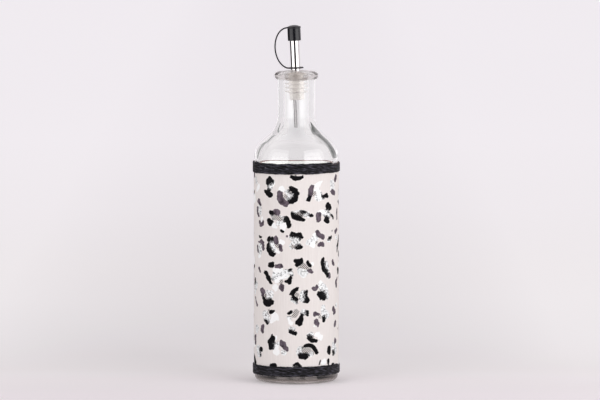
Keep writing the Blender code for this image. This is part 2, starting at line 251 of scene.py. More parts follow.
# %% [markdown]
# The bottle stands on a wide sheet of pale paper. It is a large disc, so that it also carries the object when it is
# looked at from the sides and the back. Its colour is painted shade: a little deeper just behind the bottle and paler
# far away, as paper looks when it curves up behind a product and lies in the soft shade round a bottle. The lamps
# alone would leave it too dark far away, so it also glows a little for the rays that see it, by how far away it is, and
# a little more towards the sides: painted light, with a dip just behind the bottle that paints shade there too. The
# bottle's shadow falls on it by itself.

# %% Floor
FLOOR_RADIUS = 14.0
FLOOR_RINGS = (0.3, 1.0, 3.0, FLOOR_RADIUS)
FLOOR_SEGMENTS = 96

floor_mesh = bmesh.new()
circles = []
for radius in FLOOR_RINGS:
    turns = [2 * math.pi * k / FLOOR_SEGMENTS for k in range(FLOOR_SEGMENTS)]
    circles.append([floor_mesh.verts.new((radius * math.cos(turn), radius * math.sin(turn), 0)) for turn in turns])
floor_mesh.faces.new(circles[0])
for inner, outer in zip(circles, circles[1:]):
    for k in range(FLOOR_SEGMENTS):
        after = (k + 1) % FLOOR_SEGMENTS
        floor_mesh.faces.new((inner[k], outer[k], outer[after], inner[after]))
floor_data = bpy.data.meshes.new("paper_floor")
floor_mesh.to_mesh(floor_data)
floor_mesh.free()
put_in_scene("paper_floor", floor_data)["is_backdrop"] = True
print("floor radius", FLOOR_RADIUS, "m")

# %% Matt background paper, with painted shade and painted glow
# Painted shade: the paper's colour is darker just behind the bottle and paler far away.
PAPER_TONES_WITH_PAINTED_SHADE = (
    (0.0, "#E6DFE3"), (0.03, "#E1DADE"), (0.08, "#E3DCDF"), (0.2, "#E9E3E6"), (0.4, "#EFE9EC"), (1.0, "#F2ECF0")
)
# Painted light: how much the paper glows for the rays that see it, with a dip just behind the bottle.
GLOW_TONES = (
    (-0.11, "#726A6E", 0.03), (-0.04, "#757172", 0.03), (0.0, "#7C7879", 0.04), (0.04, "#878383", 0.03),
    (0.08, "#82807F", 0.05), (0.17, "#797777", 0.12), (0.32, "#7F7E7F", 0.13), (0.61, "#908E8F", 0.11),
    (0.9, "#9A9798", 0.09), (1.6, "#A8A5A8", 0.06), (2.7, "#B3B0B4", 0.03),
)
GLOW_NEAR, GLOW_FAR = GLOW_TONES[0][0], GLOW_TONES[-1][0]
GLOW_STARTS = (("X", 1, 0.4), ("X", -1, 0.4), ("Y", -1, 0.3))
SIDE_SLOPE, SIDE_SHIFT = 4.0, 0.1
PAPER_NEAR, PAPER_FAR = -0.1, 5.5

paper, paper_tree, paper_shader = new_material("matt background paper", Roughness=0.9)
where = add_node(paper_tree, "SeparateXYZ", add_node(paper_tree, "TexCoord").outputs["Object"]).outputs
back = add_node(paper_tree, "MapRange", where["Y"], PAPER_NEAR, PAPER_FAR)
fill_inputs(paper_shader, Base_Color=add_node(paper_tree, "ValToRGB", back, stops=PAPER_TONES_WITH_PAINTED_SHADE))
far_out = where["Y"]
for axis, outward, start in GLOW_STARTS:
    beyond = add_node(paper_tree, "Math", where[axis], outward, -start, operation="MULTIPLY_ADD")
    far_out = add_node(paper_tree, "Math", far_out, beyond, operation="MAXIMUM")
glow_way = add_node(paper_tree, "MapRange", far_out, GLOW_NEAR, GLOW_FAR)
glow_stops, side_stops = [], []
for away, colour, side_glow in GLOW_TONES:
    share = (away - GLOW_NEAR) / (GLOW_FAR - GLOW_NEAR)
    glow_stops.append((share, colour))
    side_stops.append((share, (side_glow, side_glow, side_glow, 1.0)))
glow_tone = add_node(paper_tree, "ValToRGB", glow_way, stops=glow_stops)
side_tone = add_node(paper_tree, "ValToRGB", glow_way, stops=side_stops)
aside = add_node(paper_tree, "Math", where["X"], SIDE_SLOPE, SIDE_SHIFT, operation="MULTIPLY_ADD")
side_share = add_node(paper_tree, "Math", aside, aside, operation="MULTIPLY", use_clamp=True)
glow = add_node(paper_tree, "Mix", side_share, glow_tone, side_tone, data_type="RGBA", blend_type="ADD")
lit_paper = add_node(paper_tree, "Emission", glow, seen_rays(paper_tree))
fill_inputs(paper_tree.nodes["Material Output"], add_node(paper_tree, "AddShader", paper_shader, lit_paper))
floor_data.materials.append(paper)
print("the paper glows in", len(GLOW_TONES), "steps of distance")

# %% [markdown]
# Most of the pourer and all of the glass are round, so they are turned: an outline is drawn on one side of the axis and
# spun about it. Spinning a drawn outline keeps each wall's true thickness, which decides how clear glass looks. The
# same helper serves every turned piece, and takes a matrix that stands the piece in place, since the pourer leans.

# %% Turning helper
SUPPORT, SHORT_LINE = 0.12 * MM, 2.0 * MM
MERGED = 0.002 * MM
SHARP_DEGREES = 35.0


def polar(radius, degrees):
    """How far this angle on a circle lies across and up."""
    turn = math.radians(degrees)
    return radius * math.cos(turn), radius * math.sin(turn)


def arc(centre_r, centre_z, radius, start, end, steps):
    """Points (r, z) along part of a circle, with the angles in degrees."""
    turned_points = (polar(radius, start + (end - start) * step / steps) for step in range(steps + 1))
    return [(centre_r + r, centre_z + z) for r, z in turned_points]


def finished_object(name, mesh_data, material, sharp_degrees=SHARP_DEGREES):
    """An object from a bmesh, with its faces out and shaded smooth except at corners."""
    bmesh.ops.remove_doubles(mesh_data, verts=mesh_data.verts, dist=MERGED)
    bmesh.ops.recalc_face_normals(mesh_data, faces=mesh_data.faces)
    mesh = bpy.data.meshes.new(name)
    mesh_data.to_mesh(mesh)
    mesh_data.free()
    mesh.shade_smooth()
    mesh.set_sharp_from_angle(angle=math.radians(sharp_degrees))
    mesh.materials.append(material)
    return put_in_scene(name, mesh)


def supported(outline, closed):
    """The outline with a point close to each end of its long lines. Smooth shading then bends only at the very ends."""
    held = []
    for here, there in zip(outline, outline[1:] + [outline[0] if closed else outline[-1]]):
        held.append(here)
        length = math.dist(here, there)
        if length > SHORT_LINE:
            for share in (SUPPORT / length, 1 - SUPPORT / length):
                held.append(tuple(a + (b - a) * share for a, b in zip(here, there)))
    return held


def turned_piece(name, outline, segments, material, stand=None, closed=True):
    """A round piece spun from its outline (r, z), then stood in place."""
    mesh_data = bmesh.new()
    verts = [mesh_data.verts.new((r, 0, z)) for r, z in supported(outline, closed)]
    pairs = list(zip(verts, verts[1:])) + ([(verts[-1], verts[0])] if closed else [])
    spun = verts + [mesh_data.edges.new(pair) for pair in pairs]
    bmesh.ops.spin(mesh_data, geom=spun, cent=(0, 0, 0), axis=(0, 0, 1), angle=2 * math.pi, steps=segments)
    if stand:
        bmesh.ops.transform(mesh_data, matrix=stand, verts=mesh_data.verts)
    return finished_object(name, mesh_data, material)


def dress(piece, slot, body, *nodes):
    """Ties a piece to the body it moves with and hides the CAD nodes that it stands for. The slot is not used."""
    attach(piece, body)
    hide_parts(*nodes)
    print(piece.name, "has", len(piece.data.polygons), "faces")


print("a quarter circle in two steps:", [[round(part, 3) for part in point] for point in arc(0, 0, 1, 0, 90, 2)])

# %% [markdown]
# The bottle is soda-lime glass, blown in a mould: clear and very smooth. The moulded side is never perfectly even, so
# a faint, slow ripple in the surface bends what is seen through it. The ripple is a bump with a wavelength of a few
# centimetres, and the IOR is 1.52. In the heel light crosses the whole base, some 60 mm of glass, and comes out grey
# and a little brown. A surface shader only colours what crosses the surface, so that depth is put there as a colour
# that changes with height. The heel's colour also holds painted reflection and shade: the dark band just under the
# sleeve is a painted reflection of the black twine, and the dark line at the very foot is painted shade where the glass
# meets the table. The thick neck gets a little of that depth colour too, and the rim more. Rays from the lamps pass the
# glass straight, almost untinted, so that what is inside is lit as in life.

# %% Soda-lime glass
TINTED_MM = 7.6
# Grey-brown depth of glass, with painted shade at the foot and a painted reflection of the twine from 3.5 to 6.7 mm.
HEEL_TINTS_AND_PAINTED_SHADE = (
    (0.0, "#6C6562"), (0.5, "#C0BBB7"), (1.0, "#D6D1CD"), (2.1, "#C0BAB4"),
    (2.9, "#BAB3AD"), (3.5, "#605853"), (6.7, "#5E5753"), (TINTED_MM, "#FCFDFC"),
)
THICK_TINTS = ((196.0, 206.0, "#F7F8F7"), (235.5, 237.5, "#DBD9D7"))
RIPPLE_MM, RIPPLE_SQUEEZE = 16.0, 0.35

clear_glass, glass_tree, glass_shader = new_material(
    "moulded soda-lime glass", Roughness=0.0, IOR=1.52, Transmission_Weight=1.0
)
glass_place = add_node(glass_tree, "TexCoord").outputs["Object"]
glass_height = add_node(glass_tree, "SeparateXYZ", glass_place).outputs["Z"]
rise = add_node(glass_tree, "MapRange", glass_height, 0.0, TINTED_MM * MM)
glass_tint_and_painted_shade = add_node(glass_tree, "ValToRGB", rise, stops=[(up_mm / TINTED_MM, colour) for up_mm, colour in HEEL_TINTS_AND_PAINTED_SHADE])
for from_mm, to_mm, colour in THICK_TINTS:
    in_thick = add_node(glass_tree, "MapRange", glass_height, from_mm * MM, to_mm * MM)
    glass_tint_and_painted_shade = add_node(glass_tree, "Mix", in_thick, glass_tint_and_painted_shade, colour, data_type="RGBA")
squeeze = add_node(glass_tree, "Mapping", glass_place, Scale=(1, 1, RIPPLE_SQUEEZE))
ripple = add_node(glass_tree, "TexNoise", squeeze, Scale=1 / (RIPPLE_MM * MM), Detail=1.0, Roughness=0.4)
ripple_bump = add_node(glass_tree, "Bump", Strength=0.25, Distance=0.25 * MM, Height=ripple)
fill_inputs(glass_shader, Base_Color=glass_tint_and_painted_shade, Normal=ripple_bump)
from_lamp = add_node(glass_tree, "LightPath").outputs["Is Shadow Ray"]
let_through = add_node(glass_tree, "BsdfTransparent", "#FAFAF9")
glass_or_open = add_node(glass_tree, "MixShader", from_lamp, glass_shader, let_through)
fill_inputs(glass_tree.nodes["Material Output"], glass_or_open)
print("glass tints:", len(HEEL_TINTS_AND_PAINTED_SHADE), "in the heel and", len(THICK_TINTS), "above")

# %% [markdown]
# The bottle's outline runs up the inside and down the outside: a base 6.5 mm thick with a shallow punt below, a 3.2 mm
# wall, a shoulder made of a round, a slope and a fillet, a straight neck and a domed rim. The inside starts to close
# in 3 mm lower than the outside, so the glass is a wedge there, and bends the view of the sleeve's far edge. The other
# sizes are the CAD model's own. The CAD bottle has 48 sides, enough for a solid but not for glass, where every facet
# shows as a stripe, so the same outline is spun again in 192 steps with finer rounds.

# %% Bottle
BODY_RADIUS, BODY_TOP = 32.6 * MM, 176.0 * MM
WALL = 3.2 * MM
BASE_THICKNESS = 6.5 * MM
HEEL_ROUND, INNER_HEEL_ROUND = 4.5 * MM, 3.5 * MM
PUNT_RADIUS, PUNT_DEPTH, PUNT_STEPS = 22.0 * MM, 1.5 * MM, 12
SHOULDER_ROUND, SHOULDER_SLOPE = 15.9 * MM, 48.7
INNER_DROP, INNER_ROUND = 3.0 * MM, 17.0 * MM
NECK_RADIUS, NECK_FILLET, NECK_LENGTH = 14.7 * MM, 17.5 * MM, 29.1 * MM
BORE_RADIUS, BORE_FILLET = 9.4 * MM, 20.0 * MM
MOUTH_ROUND = 1.4 * MM
RIM_RADIUS, RIM_FOOT = 17.05 * MM, 3.7 * MM
DOME_WIDTH, DOME_HEIGHT = 5.4 * MM, 3.1 * MM
BOTTLE_STEPS = 192
FINE_ROUND = 16


def shoulder_line(side_radius, start_z, radius, neck_radius, fillet):
    """From the top of the straight side to the neck: a round, a slope and a fillet."""
    rounded = arc(side_radius - radius, start_z, radius, 0, SHOULDER_SLOPE, FINE_ROUND)
    start_r, start_z = rounded[-1]
    across, down = polar(fillet, SHOULDER_SLOPE)
    end_z = start_z + (start_r - (neck_radius + fillet - across)) / math.tan(math.radians(SHOULDER_SLOPE))
    return rounded + arc(neck_radius + fillet, end_z + down, fillet, 180 + SHOULDER_SLOPE, 180, FINE_ROUND)


outer_line = shoulder_line(BODY_RADIUS, BODY_TOP, SHOULDER_ROUND, NECK_RADIUS, NECK_FILLET)
inner_line = shoulder_line(BODY_RADIUS - WALL, BODY_TOP - INNER_DROP, INNER_ROUND, BORE_RADIUS, BORE_FILLET)
rim_middle = outer_line[-1][1] + NECK_LENGTH + RIM_FOOT
mouth = rim_middle + DOME_HEIGHT
inner_heel_r = BODY_RADIUS - WALL - INNER_HEEL_ROUND
inside = [(0, BASE_THICKNESS)]
inside += arc(inner_heel_r, BASE_THICKNESS + INNER_HEEL_ROUND, INNER_HEEL_ROUND, -90, 0, FINE_ROUND) + inner_line
inside += arc(BORE_RADIUS + MOUTH_ROUND, mouth - MOUTH_ROUND, MOUTH_ROUND, 180, 90, FINE_ROUND)
dome = arc(0, 0, 1, 90, 0, FINE_ROUND)
foot = arc(0, 0, 1, 0, -90, FINE_ROUND)
outside = [(RIM_RADIUS - DOME_WIDTH * (1 - r), rim_middle + DOME_HEIGHT * z) for r, z in dome]
outside += [(NECK_RADIUS + (RIM_RADIUS - NECK_RADIUS) * r, rim_middle + RIM_FOOT * z) for r, z in foot]
outside += outer_line[::-1]
outside += arc(BODY_RADIUS - HEEL_ROUND, HEEL_ROUND, HEEL_ROUND, 0, -90, FINE_ROUND)
punt_shares = [k / PUNT_STEPS for k in range(PUNT_STEPS, -1, -1)]
punt = [(PUNT_RADIUS * share, PUNT_DEPTH * (1 - share**2)) for share in punt_shares]
bottle = turned_piece("bottle", inside + outside + punt, BOTTLE_STEPS, clear_glass, closed=False)
dress(bottle, "clear_glass", "bottle", "glass_bottle")

# %% [markdown]
# The sleeve is a sheet of cotton, cut to wrap the bottle once and glued down, with its two upright edges meeting at the
# back. Its print is a traditional leopard spot: open rings of black and plum-grey strokes round a patch of silver foil,
# on cream. A texture made of noise could give random spots, but not rings with their strokes in the right places, and
# a picture isn't used here. So each rosette is laid out as brush strokes in millimetres on the flat cloth, and every
# point of a fine mesh learns how far inside each ink it lies. The shader turns those distances into crisp edges.
#
# Each rosette below has its middle on the cloth, in millimetres to the right of the front and up from the table, and
# then its strokes. A stroke is an ink and points (x, y, half its width) from the rosette's middle.

# %% Layout of the print
ROSETTES = [
    ((-22.5, 154.9), [("foil", (1.5, 2.6, 2.6), (0.3, -1.2, 2.6)), ("white", (3.7, 2.2, 1.8)),
        ("black", (-2.5, 0.7, 0.8), (-1.5, 3.4, 1.7), (0.6, 4.8, 2.2), (3.0, 4.5, 0.9)),
        ("black", (-4.5, -4.6, 1.3), (-1.5, -5.3, 2.0), (0.8, -7.1, 2.0))]),
    ((-5.8, 146.9), [("foil", (2.8, 0.8, 2.1), (-0.1, -0.7, 2.6), (-1.1, 3.1, 1.9)), ("hatch", (-2.5, 0.2, 2.0)),
        ("white", (-5.5, 5.8, 2.5)),
        ("plum", (-7.0, 2.4, 2.1), (-7.5, -0.9, 2.3), (-5.0, -4.1, 2.4), (-2.5, -5.7, 2.2), (-0.1, -4.7, 1.5)),
        ("black", (2.3, 5.9, 2.0), (5.1, 4.5, 2.2), (6.8, 2.6, 1.7)),
        ("black", (5.9, 0.8, 1.1), (4.9, -2.1, 1.6), (2.8, -3.9, 1.5), (0.9, -4.1, 1.2))]),
    ((0.6, 161.8), [("black", (-4.1, 0.2, 1.4), (-1.2, -1.1, 1.5), (2.1, -0.6, 1.5), (4.5, 0.6, 0.8)),
        ("foil", (-1.2, 0.9, 0.8))]),
    ((16.9, 149.5), [("foil", (0.3, 1.1, 2.7), (1.4, -4.2, 2.3), (2.6, -0.9, 2.1)),
        ("white", (-2.3, 5.6, 1.4), (1.4, 6.4, 1.9), (4.6, 8.6, 0.7)), ("white", (-0.2, 2.5, 1.5), (3.4, -5.0, 1.4)),
        ("hatch", (-2.9, -0.7, 1.8)), ("foil", (5.5, -3.9, 1.6)),
        ("plum", (-4.4, 5.0, 1.6), (-5.2, 1.7, 2.2), (-6.2, -2.0, 2.1)),
        ("black", (-6.7, -3.4, 1.7), (-7.4, -5.6, 1.5)), ("black", (6.4, -2.5, 1.1), (9.5, -2.6, 1.5))]),
    ((35.6, 154.5), [("foil", (-2.5, 1.8, 2.3), (-1.4, -1.8, 2.4)), ("plum", (3.8, 6.5, 1.7), (2.5, 4.6, 2.1)),
        ("plum", (-2.5, -4.8, 1.8), (0.1, -6.3, 2.1))]),
    ((-38.9, 154.9), [("white", (3.3, -1.2, 1.9), (-0.3, -4.7, 1.2)), ("foil", (-2.8, 4.5, 1.7), (-0.3, 1.4, 1.5))]),
    ((-35.3, 135.7), [("foil", (1.1, 0.7, 2.7), (1.8, -2.6, 1.9)), ("plum", (-0.3, 6.0, 2.5), (2.3, 3.8, 1.5)),
        ("plum", (-2.4, 0.9, 1.1), (-2.2, -2.9, 1.1), (-0.3, -5.8, 0.9))]),
    ((-31.4, 126.0), [("white", (0.7, 3.1, 1.6), (-0.1, -0.3, 1.0)),
        ("plum", (-2.7, 0.1, 1.0), (-1.8, -2.4, 1.4), (1.5, -1.5, 1.1), (2.3, 1.0, 0.6))]),
    ((-14.6, 127.3), [("foil", (-3.5, 4.0, 2.3), (4.9, 1.9, 1.8), (0.8, -1.5, 2.0)),
        ("hatch", (-1.8, 3.6, 2.5), (1.8, 2.1, 2.1)), ("white", (-3.5, -3.1, 2.2), (-1.8, -4.3, 1.2)),
        ("white", (3.9, -4.4, 2.6), (5.9, -1.8, 1.6)), ("black", (-6.3, 7.1, 2.0)),
        ("plum", (-2.6, 7.4, 2.2), (0.3, 7.1, 2.1)),
        ("black", (-8.3, -0.0, 2.1), (-7.5, -2.3, 1.9), (-5.3, -0.2, 1.1)), ("white", (-8.0, -0.0, 0.4)),
        ("black", (2.8, -7.2, 0.9), (4.1, -7.5, 0.7)),
        ("black", (6.8, 2.7, 1.1), (8.5, -0.3, 1.8), (8.9, -3.2, 1.5))]),
    ((3.9, 132.7), [("foil", (-5.9, 1.4, 1.7), (-2.1, 0.9, 2.3), (1.7, 1.3, 2.0), (5.1, 0.8, 1.7)),
        ("hatch", (-3.1, 0.2, 1.7), (0.3, -0.1, 1.7)), ("white", (5.6, -1.2, 1.2)),
        ("black", (-7.4, 0.9, 1.0), (-5.5, -1.6, 1.8), (-2.1, -3.0, 1.5), (1.8, -3.6, 1.1)),
        ("black", (8.1, -0.9, 1.4)), ("black", (0.7, 2.4, 0.6), (2.9, 2.5, 0.5))]),
    ((25.9, 132.4), [("white", (-6.4, 1.6, 1.8), (-3.2, 2.3, 1.8)),
        ("foil", (0.4, 2.7, 2.0), (-1.6, 0.4, 2.5), (2.5, -0.8, 2.6)), ("plum", (-7.6, -0.4, 2.4), (-7.5, -3.6, 2.3)),
        ("black", (1.8, 6.8, 2.2), (4.1, 5.1, 2.1)), ("black", (0.0, -4.4, 2.2), (2.3, -5.6, 1.4)),
        ("black", (6.8, -1.1, 0.9), (8.3, -3.2, 1.0))]),
    ((42.0, 131.6), [("plum", (0.3, 4.5, 0.8), (-0.5, -0.1, 1.1), (0.3, -4.4, 0.8))]),
    ((-33.2, 114.4), [("black", (-1.2, 0.3, 0.8), (1.2, -0.3, 0.8))]),
    ((-33.5, 106.0), [("foil", (0.3, 1.2, 2.6), (-0.6, -3.2, 2.1)), ("white", (-0.6, -6.8, 1.7)),
        ("plum", (-2.1, 4.2, 0.9), (2.0, 5.0, 1.6), (4.4, 2.7, 1.5), (4.1, -0.6, 1.5)),
        ("plum", (-4.2, 1.0, 0.8), (-3.3, -3.4, 1.1))]),
    ((-18.1, 108.2), [("foil", (-2.9, 3.1, 2.8), (-2.9, -0.6, 3.1), (-0.0, -2.8, 1.5)), ("hatch", (2.7, 0.6, 2.1)),
        ("white", (5.9, 3.5, 1.7), (7.9, 2.1, 1.3)), ("white", (0.5, -3.6, 1.3), (3.3, -4.8, 1.2)),
        ("black", (-4.7, 6.2, 1.5), (-5.8, 4.4, 1.1)), ("black", (-1.7, 5.6, 1.2)),
        ("plum", (1.6, 5.8, 1.9), (1.7, 3.1, 1.9)), ("plum", (5.3, 0.1, 1.8), (6.2, -2.7, 1.6)),
        ("black", (-6.3, 0.3, 1.2), (-6.6, -2.3, 1.5), (-4.1, -4.9, 2.1), (-1.1, -6.6, 2.0)),
        ("plum", (0.8, -6.6, 1.1))]),
    ((-0.5, 112.8), [
        ("foil", (-3.0, 2.9, 2.1), (1.3, 2.0, 2.7), (0.3, -1.3, 2.8), (-3.0, -4.6, 2.0), (2.2, -4.6, 2.0)),
        ("hatch", (-1.8, -4.8, 1.6)), ("black", (-2.5, 5.3, 1.2), (0.3, 4.7, 1.1), (2.7, 4.8, 1.9), (4.7, 2.8, 1.4)),
        ("black", (1.5, -6.1, 0.7), (4.2, -4.6, 1.0)), ("plum", (-6.9, 3.3, 0.8))]),
    ((16.4, 113.0), [("foil", (-0.8, 1.0, 2.3), (-4.9, -0.7, 2.0), (-6.9, -2.6, 1.5)), ("white", (-1.8, 3.8, 1.8)),
        ("white", (-3.5, -3.7, 2.5)), ("hatch", (0.0, -1.6, 1.3)),
        ("plum", (0.8, 6.1, 1.5), (2.5, 3.6, 2.0), (6.0, 2.0, 2.1)), ("plum", (3.1, -4.0, 1.8), (5.5, -3.9, 1.7))]),
    ((30.0, 113.5), [("foil", (-0.9, -1.3, 1.5)), ("black", (-0.9, 0.7, 1.0), (1.8, 0.6, 1.0))]),
    ((39.8, 113.5), [("foil", (0.9, 0.1, 2.0)), ("plum", (-1.7, 4.6, 1.7), (1.5, 5.8, 1.4)),
        ("plum", (-6.7, 6.0, 0.7)), ("plum", (3.5, -5.8, 0.8), (2.5, -10.7, 1.4))]),
    ((-14.2, 84.7), [("foil", (-2.2, 2.5, 2.9), (-2.8, -1.8, 2.9), (2.5, 0.8, 2.8), (6.4, 3.3, 2.3)),
        ("white", (-3.9, 5.0, 1.8), (1.4, 5.0, 2.3)), ("white", (6.4, 0.7, 1.7), (-2.2, -4.1, 1.5)),
        ("foil", (9.6, 4.3, 1.6), (10.4, 1.5, 1.3)), ("hatch", (2.2, -4.4, 2.0)),
        ("white", (-2.8, -8.8, 2.8), (-2.1, -10.3, 1.7)), ("black", (-7.3, 8.3, 2.0), (-5.5, 9.0, 1.9)),
        ("plum", (-1.7, 7.7, 1.5), (1.9, 7.7, 1.8)),
        ("black", (-12.8, 2.3, 1.6), (-10.4, 0.1, 1.8), (-8.6, -2.7, 1.7), (-7.0, -5.8, 1.0)),
        ("white", (-10.3, 1.9, 0.7)), ("black", (9.6, 5.9, 0.6)),
        ("black", (9.3, -1.7, 1.5), (8.4, -3.8, 1.9), (6.5, -4.2, 1.1)),
        ("plum", (2.5, -8.1, 2.2), (2.7, -10.1, 1.6))]),
    ((7.0, 91.9), [("foil", (-3.9, -2.4, 2.2), (-1.5, -5.3, 2.5), (0.7, -3.0, 2.2)),
        ("hatch", (-1.9, 1.3, 2.5), (1.0, -0.1, 2.1)), ("white", (6.0, 2.3, 1.3)),
        ("black", (-7.6, 5.1, 1.6), (-3.9, 4.7, 2.0), (-6.6, 1.7, 1.4)), ("black", (1.9, 4.0, 1.1), (3.9, 1.1, 1.1)),
        ("plum", (2.4, -3.0, 1.0), (3.9, -2.7, 1.8), (5.5, -3.7, 1.1))]),
    ((27.2, 90.2), [("foil", (-1.6, 3.1, 2.4), (-0.8, -0.8, 2.5)),
        ("black", (-4.8, 7.1, 1.2), (-5.6, 4.3, 1.4), (-4.8, 0.5, 1.4), (-2.3, -3.0, 1.4), (0.4, -6.0, 1.4)),
        ("plum", (1.9, -5.2, 1.8), (2.6, -6.8, 1.4)), ("plum", (6.8, 4.8, 1.5), (8.3, 2.2, 1.2))]),
    ((-34.1, 88.5), [("plum", (-1.0, 1.1, 1.2), (1.0, -1.1, 1.0))]),
    ((-40.7, 63.4), [("plum", (-1.3, 2.9, 0.6), (-0.7, 0.1, 0.6), (2.0, -2.9, 1.2))]),
    ((41.0, 78.7), [("plum", (1.3, 3.0, 1.1), (-1.0, 0.4, 1.5), (-0.3, -3.4, 1.4))]),
    ((-25.2, 67.9), [("foil", (0.5, 1.9, 2.8), (4.2, 3.1, 2.2), (2.4, -0.8, 2.3)), ("hatch", (-1.8, 0.8, 1.5)),
        ("white", (4.3, 2.9, 0.8)), ("plum", (-5.5, 4.7, 2.5), (-3.2, 4.3, 1.9), (-5.4, 1.4, 1.6)),
        ("black", (-4.0, -1.5, 1.6), (-2.2, -4.0, 2.4), (0.7, -5.2, 2.3), (4.2, -4.1, 2.2), (5.7, -3.4, 1.1))]),
    ((3.0, 69.3), [("foil", (-6.0, -2.3, 1.5), (-3.1, -4.7, 1.5)), ("foil", (2.6, 2.3, 2.3), (2.6, -2.4, 2.5)),
        ("hatch", (-2.6, 1.4, 2.0)),
        ("black", (-2.2, 5.7, 1.4), (-5.0, 4.1, 1.7), (-6.4, 1.4, 1.2), (-4.1, -1.0, 0.9), (-2.2, -2.4, 0.8)),
        ("black", (5.3, 4.1, 0.8), (4.8, 2.2, 0.6)),
        ("black", (5.3, -0.6, 1.3), (6.0, -3.0, 1.4), (5.0, -4.8, 0.8))]),
    ((20.7, 72.8), [("foil", (0.5, 3.8, 2.8), (3.6, 0.3, 3.2), (5.7, -4.1, 2.4)), ("white", (-0.4, 6.7, 1.4)),
        ("plum", (-6.2, 2.2, 1.9), (-4.0, 3.8, 1.5)),
        ("black", (-2.4, -2.1, 1.8), (0.5, -3.8, 2.8), (2.7, -6.8, 1.3))]),
    ((-22.1, 52.7), [("foil", (-4.6, 1.4, 3.0), (-2.9, -2.0, 3.3)),
        ("white", (4.0, 1.5, 2.9), (5.6, -0.4, 2.8), (1.8, -3.5, 1.8)), ("hatch", (-1.3, 4.9, 1.2)),
        ("black", (0.8, 3.5, 1.2), (3.5, 4.8, 1.0)), ("black", (-4.7, -4.3, 0.6), (-2.4, -5.8, 0.7))]),
    ((1.0, 53.5), [("foil", (4.6, 3.1, 2.3), (6.6, 2.4, 2.0)), ("foil", (-6.4, -1.6, 1.7)),
        ("hatch", (-1.2, 3.5, 2.2), (-2.7, 0.7, 1.9)), ("white", (-5.4, -4.7, 1.6), (-6.9, -2.1, 1.0)),
        ("black", (-6.9, 2.6, 1.3), (-5.3, 3.6, 1.1)), ("black", (8.0, 3.9, 0.5), (8.1, 0.5, 0.5)),
        ("black", (3.1, 0.6, 1.0), (2.6, -2.2, 1.8), (1.7, -5.4, 2.4), (0.2, -4.9, 2.0))]),
    ((-2.6, 41.5), [("foil", (-0.8, 2.4, 2.3)), ("black", (-1.9, -0.4, 0.9), (0.6, -1.4, 1.3), (2.1, -0.5, 0.8))]),
    ((20.2, 52.4), [("foil", (2.9, 7.6, 1.7), (2.4, 4.3, 2.3), (6.2, 1.2, 2.8), (3.5, 0.5, 2.0)),
        ("hatch", (-0.7, 0.8, 1.6)), ("white", (-5.5, -6.6, 0.8)), ("plum", (-5.1, 2.9, 1.9), (-2.8, 2.2, 1.3)),
        ("black", (2.9, -1.3, 1.2), (3.2, -2.9, 1.1)), ("plum", (-4.0, -3.3, 2.1), (-2.9, -5.3, 1.6))]),
    ((37.2, 56.9), [("foil", (3.5, 3.3, 1.8)), ("plum", (-2.3, 1.1, 1.7), (0.0, -1.5, 2.1), (-1.3, -2.9, 1.5))]),
    ((40.5, 44.8), [("plum", (-1.1, 2.9, 1.2), (-3.0, 0.5, 2.0)), ("plum", (4.1, -3.4, 0.8))]),
    ((-35.3, 40.9), [("foil", (-3.6, 1.1, 3.0)), ("plum", (5.2, 3.4, 1.8), (4.7, 0.4, 2.0)),
        ("plum", (-6.3, -4.9, 1.1))]),
    ((-16.7, 31.2), [("white", (0.2, 5.1, 1.6)), ("foil", (-2.0, 0.8, 1.9), (-2.6, -2.6, 1.6), (1.8, 0.1, 1.7)),
        ("white", (0.7, -1.9, 2.2)), ("white", (0.7, -5.7, 2.7)), ("foil", (6.9, -6.3, 1.9)),
        ("black", (-3.1, 7.3, 1.0), (-2.6, 4.5, 1.9), (-4.8, 2.5, 1.9)),
        ("black", (-6.1, 1.4, 1.4), (-4.8, -1.3, 2.2), (-4.5, -3.3, 1.4)),
        ("plum", (4.9, 2.6, 1.4), (6.4, 0.3, 2.2), (9.0, -3.5, 1.3))]),
    ((13.9, 37.0), [("foil", (-1.5, 1.5, 2.0), (-4.5, 2.1, 1.2)), ("white", (3.8, 1.7, 2.4), (6.1, -0.1, 2.3)),
        ("hatch", (-0.4, 0.5, 1.3)), ("black", (-4.0, -0.3, 1.3), (-2.0, -2.4, 1.4), (2.3, -2.9, 1.3))]),
    ((8.9, 26.6), [("foil", (-5.7, 1.7, 2.1), (-6.1, -2.0, 2.1), (2.6, -2.2, 2.1)),
        ("hatch", (-1.4, 0.2, 2.8), (1.1, 0.4, 1.9)),
        ("black", (-2.4, 3.9, 1.1), (0.6, 4.3, 1.3), (3.6, 3.8, 1.6), (6.3, 0.9, 1.6), (7.9, -2.0, 1.1)),
        ("black", (-5.0, -4.5, 1.8), (-1.4, -4.6, 1.8))]),
    ((34.1, 26.9), [("foil", (2.0, 1.7, 3.2), (3.1, -1.7, 3.6)), ("black", (-5.1, 1.0, 1.8), (-4.9, -2.8, 1.7)),
        ("plum", (4.0, 5.7, 2.1)), ("black", (0.8, -3.9, 1.4))]),
    ((-33.6, 24.7), [("foil", (-3.0, 1.0, 3.2), (-2.0, -1.7, 3.1)), ("black", (0.8, 1.9, 1.2), (2.9, 1.2, 1.1)),
        ("black", (1.3, -2.4, 0.7))]),
    ((-19.1, 14.2), [("black", (-1.7, 0.1, 2.0), (1.7, -0.1, 1.8))]),
    ((0.3, 14.9), [("foil", (-2.2, -1.2, 1.4), (0.8, -1.2, 1.4)),
        ("black", (-1.9, 1.2, 0.7), (0.5, 1.6, 1.1), (2.9, -0.4, 0.9))]),
    ((23.7, 16.8), [("white", (-0.3, -0.1, 2.8)), ("black", (-4.1, 1.6, 0.6), (-4.7, -0.9, 0.7)),
        ("black", (4.6, 1.1, 1.0), (4.5, -1.7, 1.0))]),
    ((34.6, 14.3), [("black", (-1.0, -0.1, 1.0), (1.0, 0.1, 0.8))]),
]
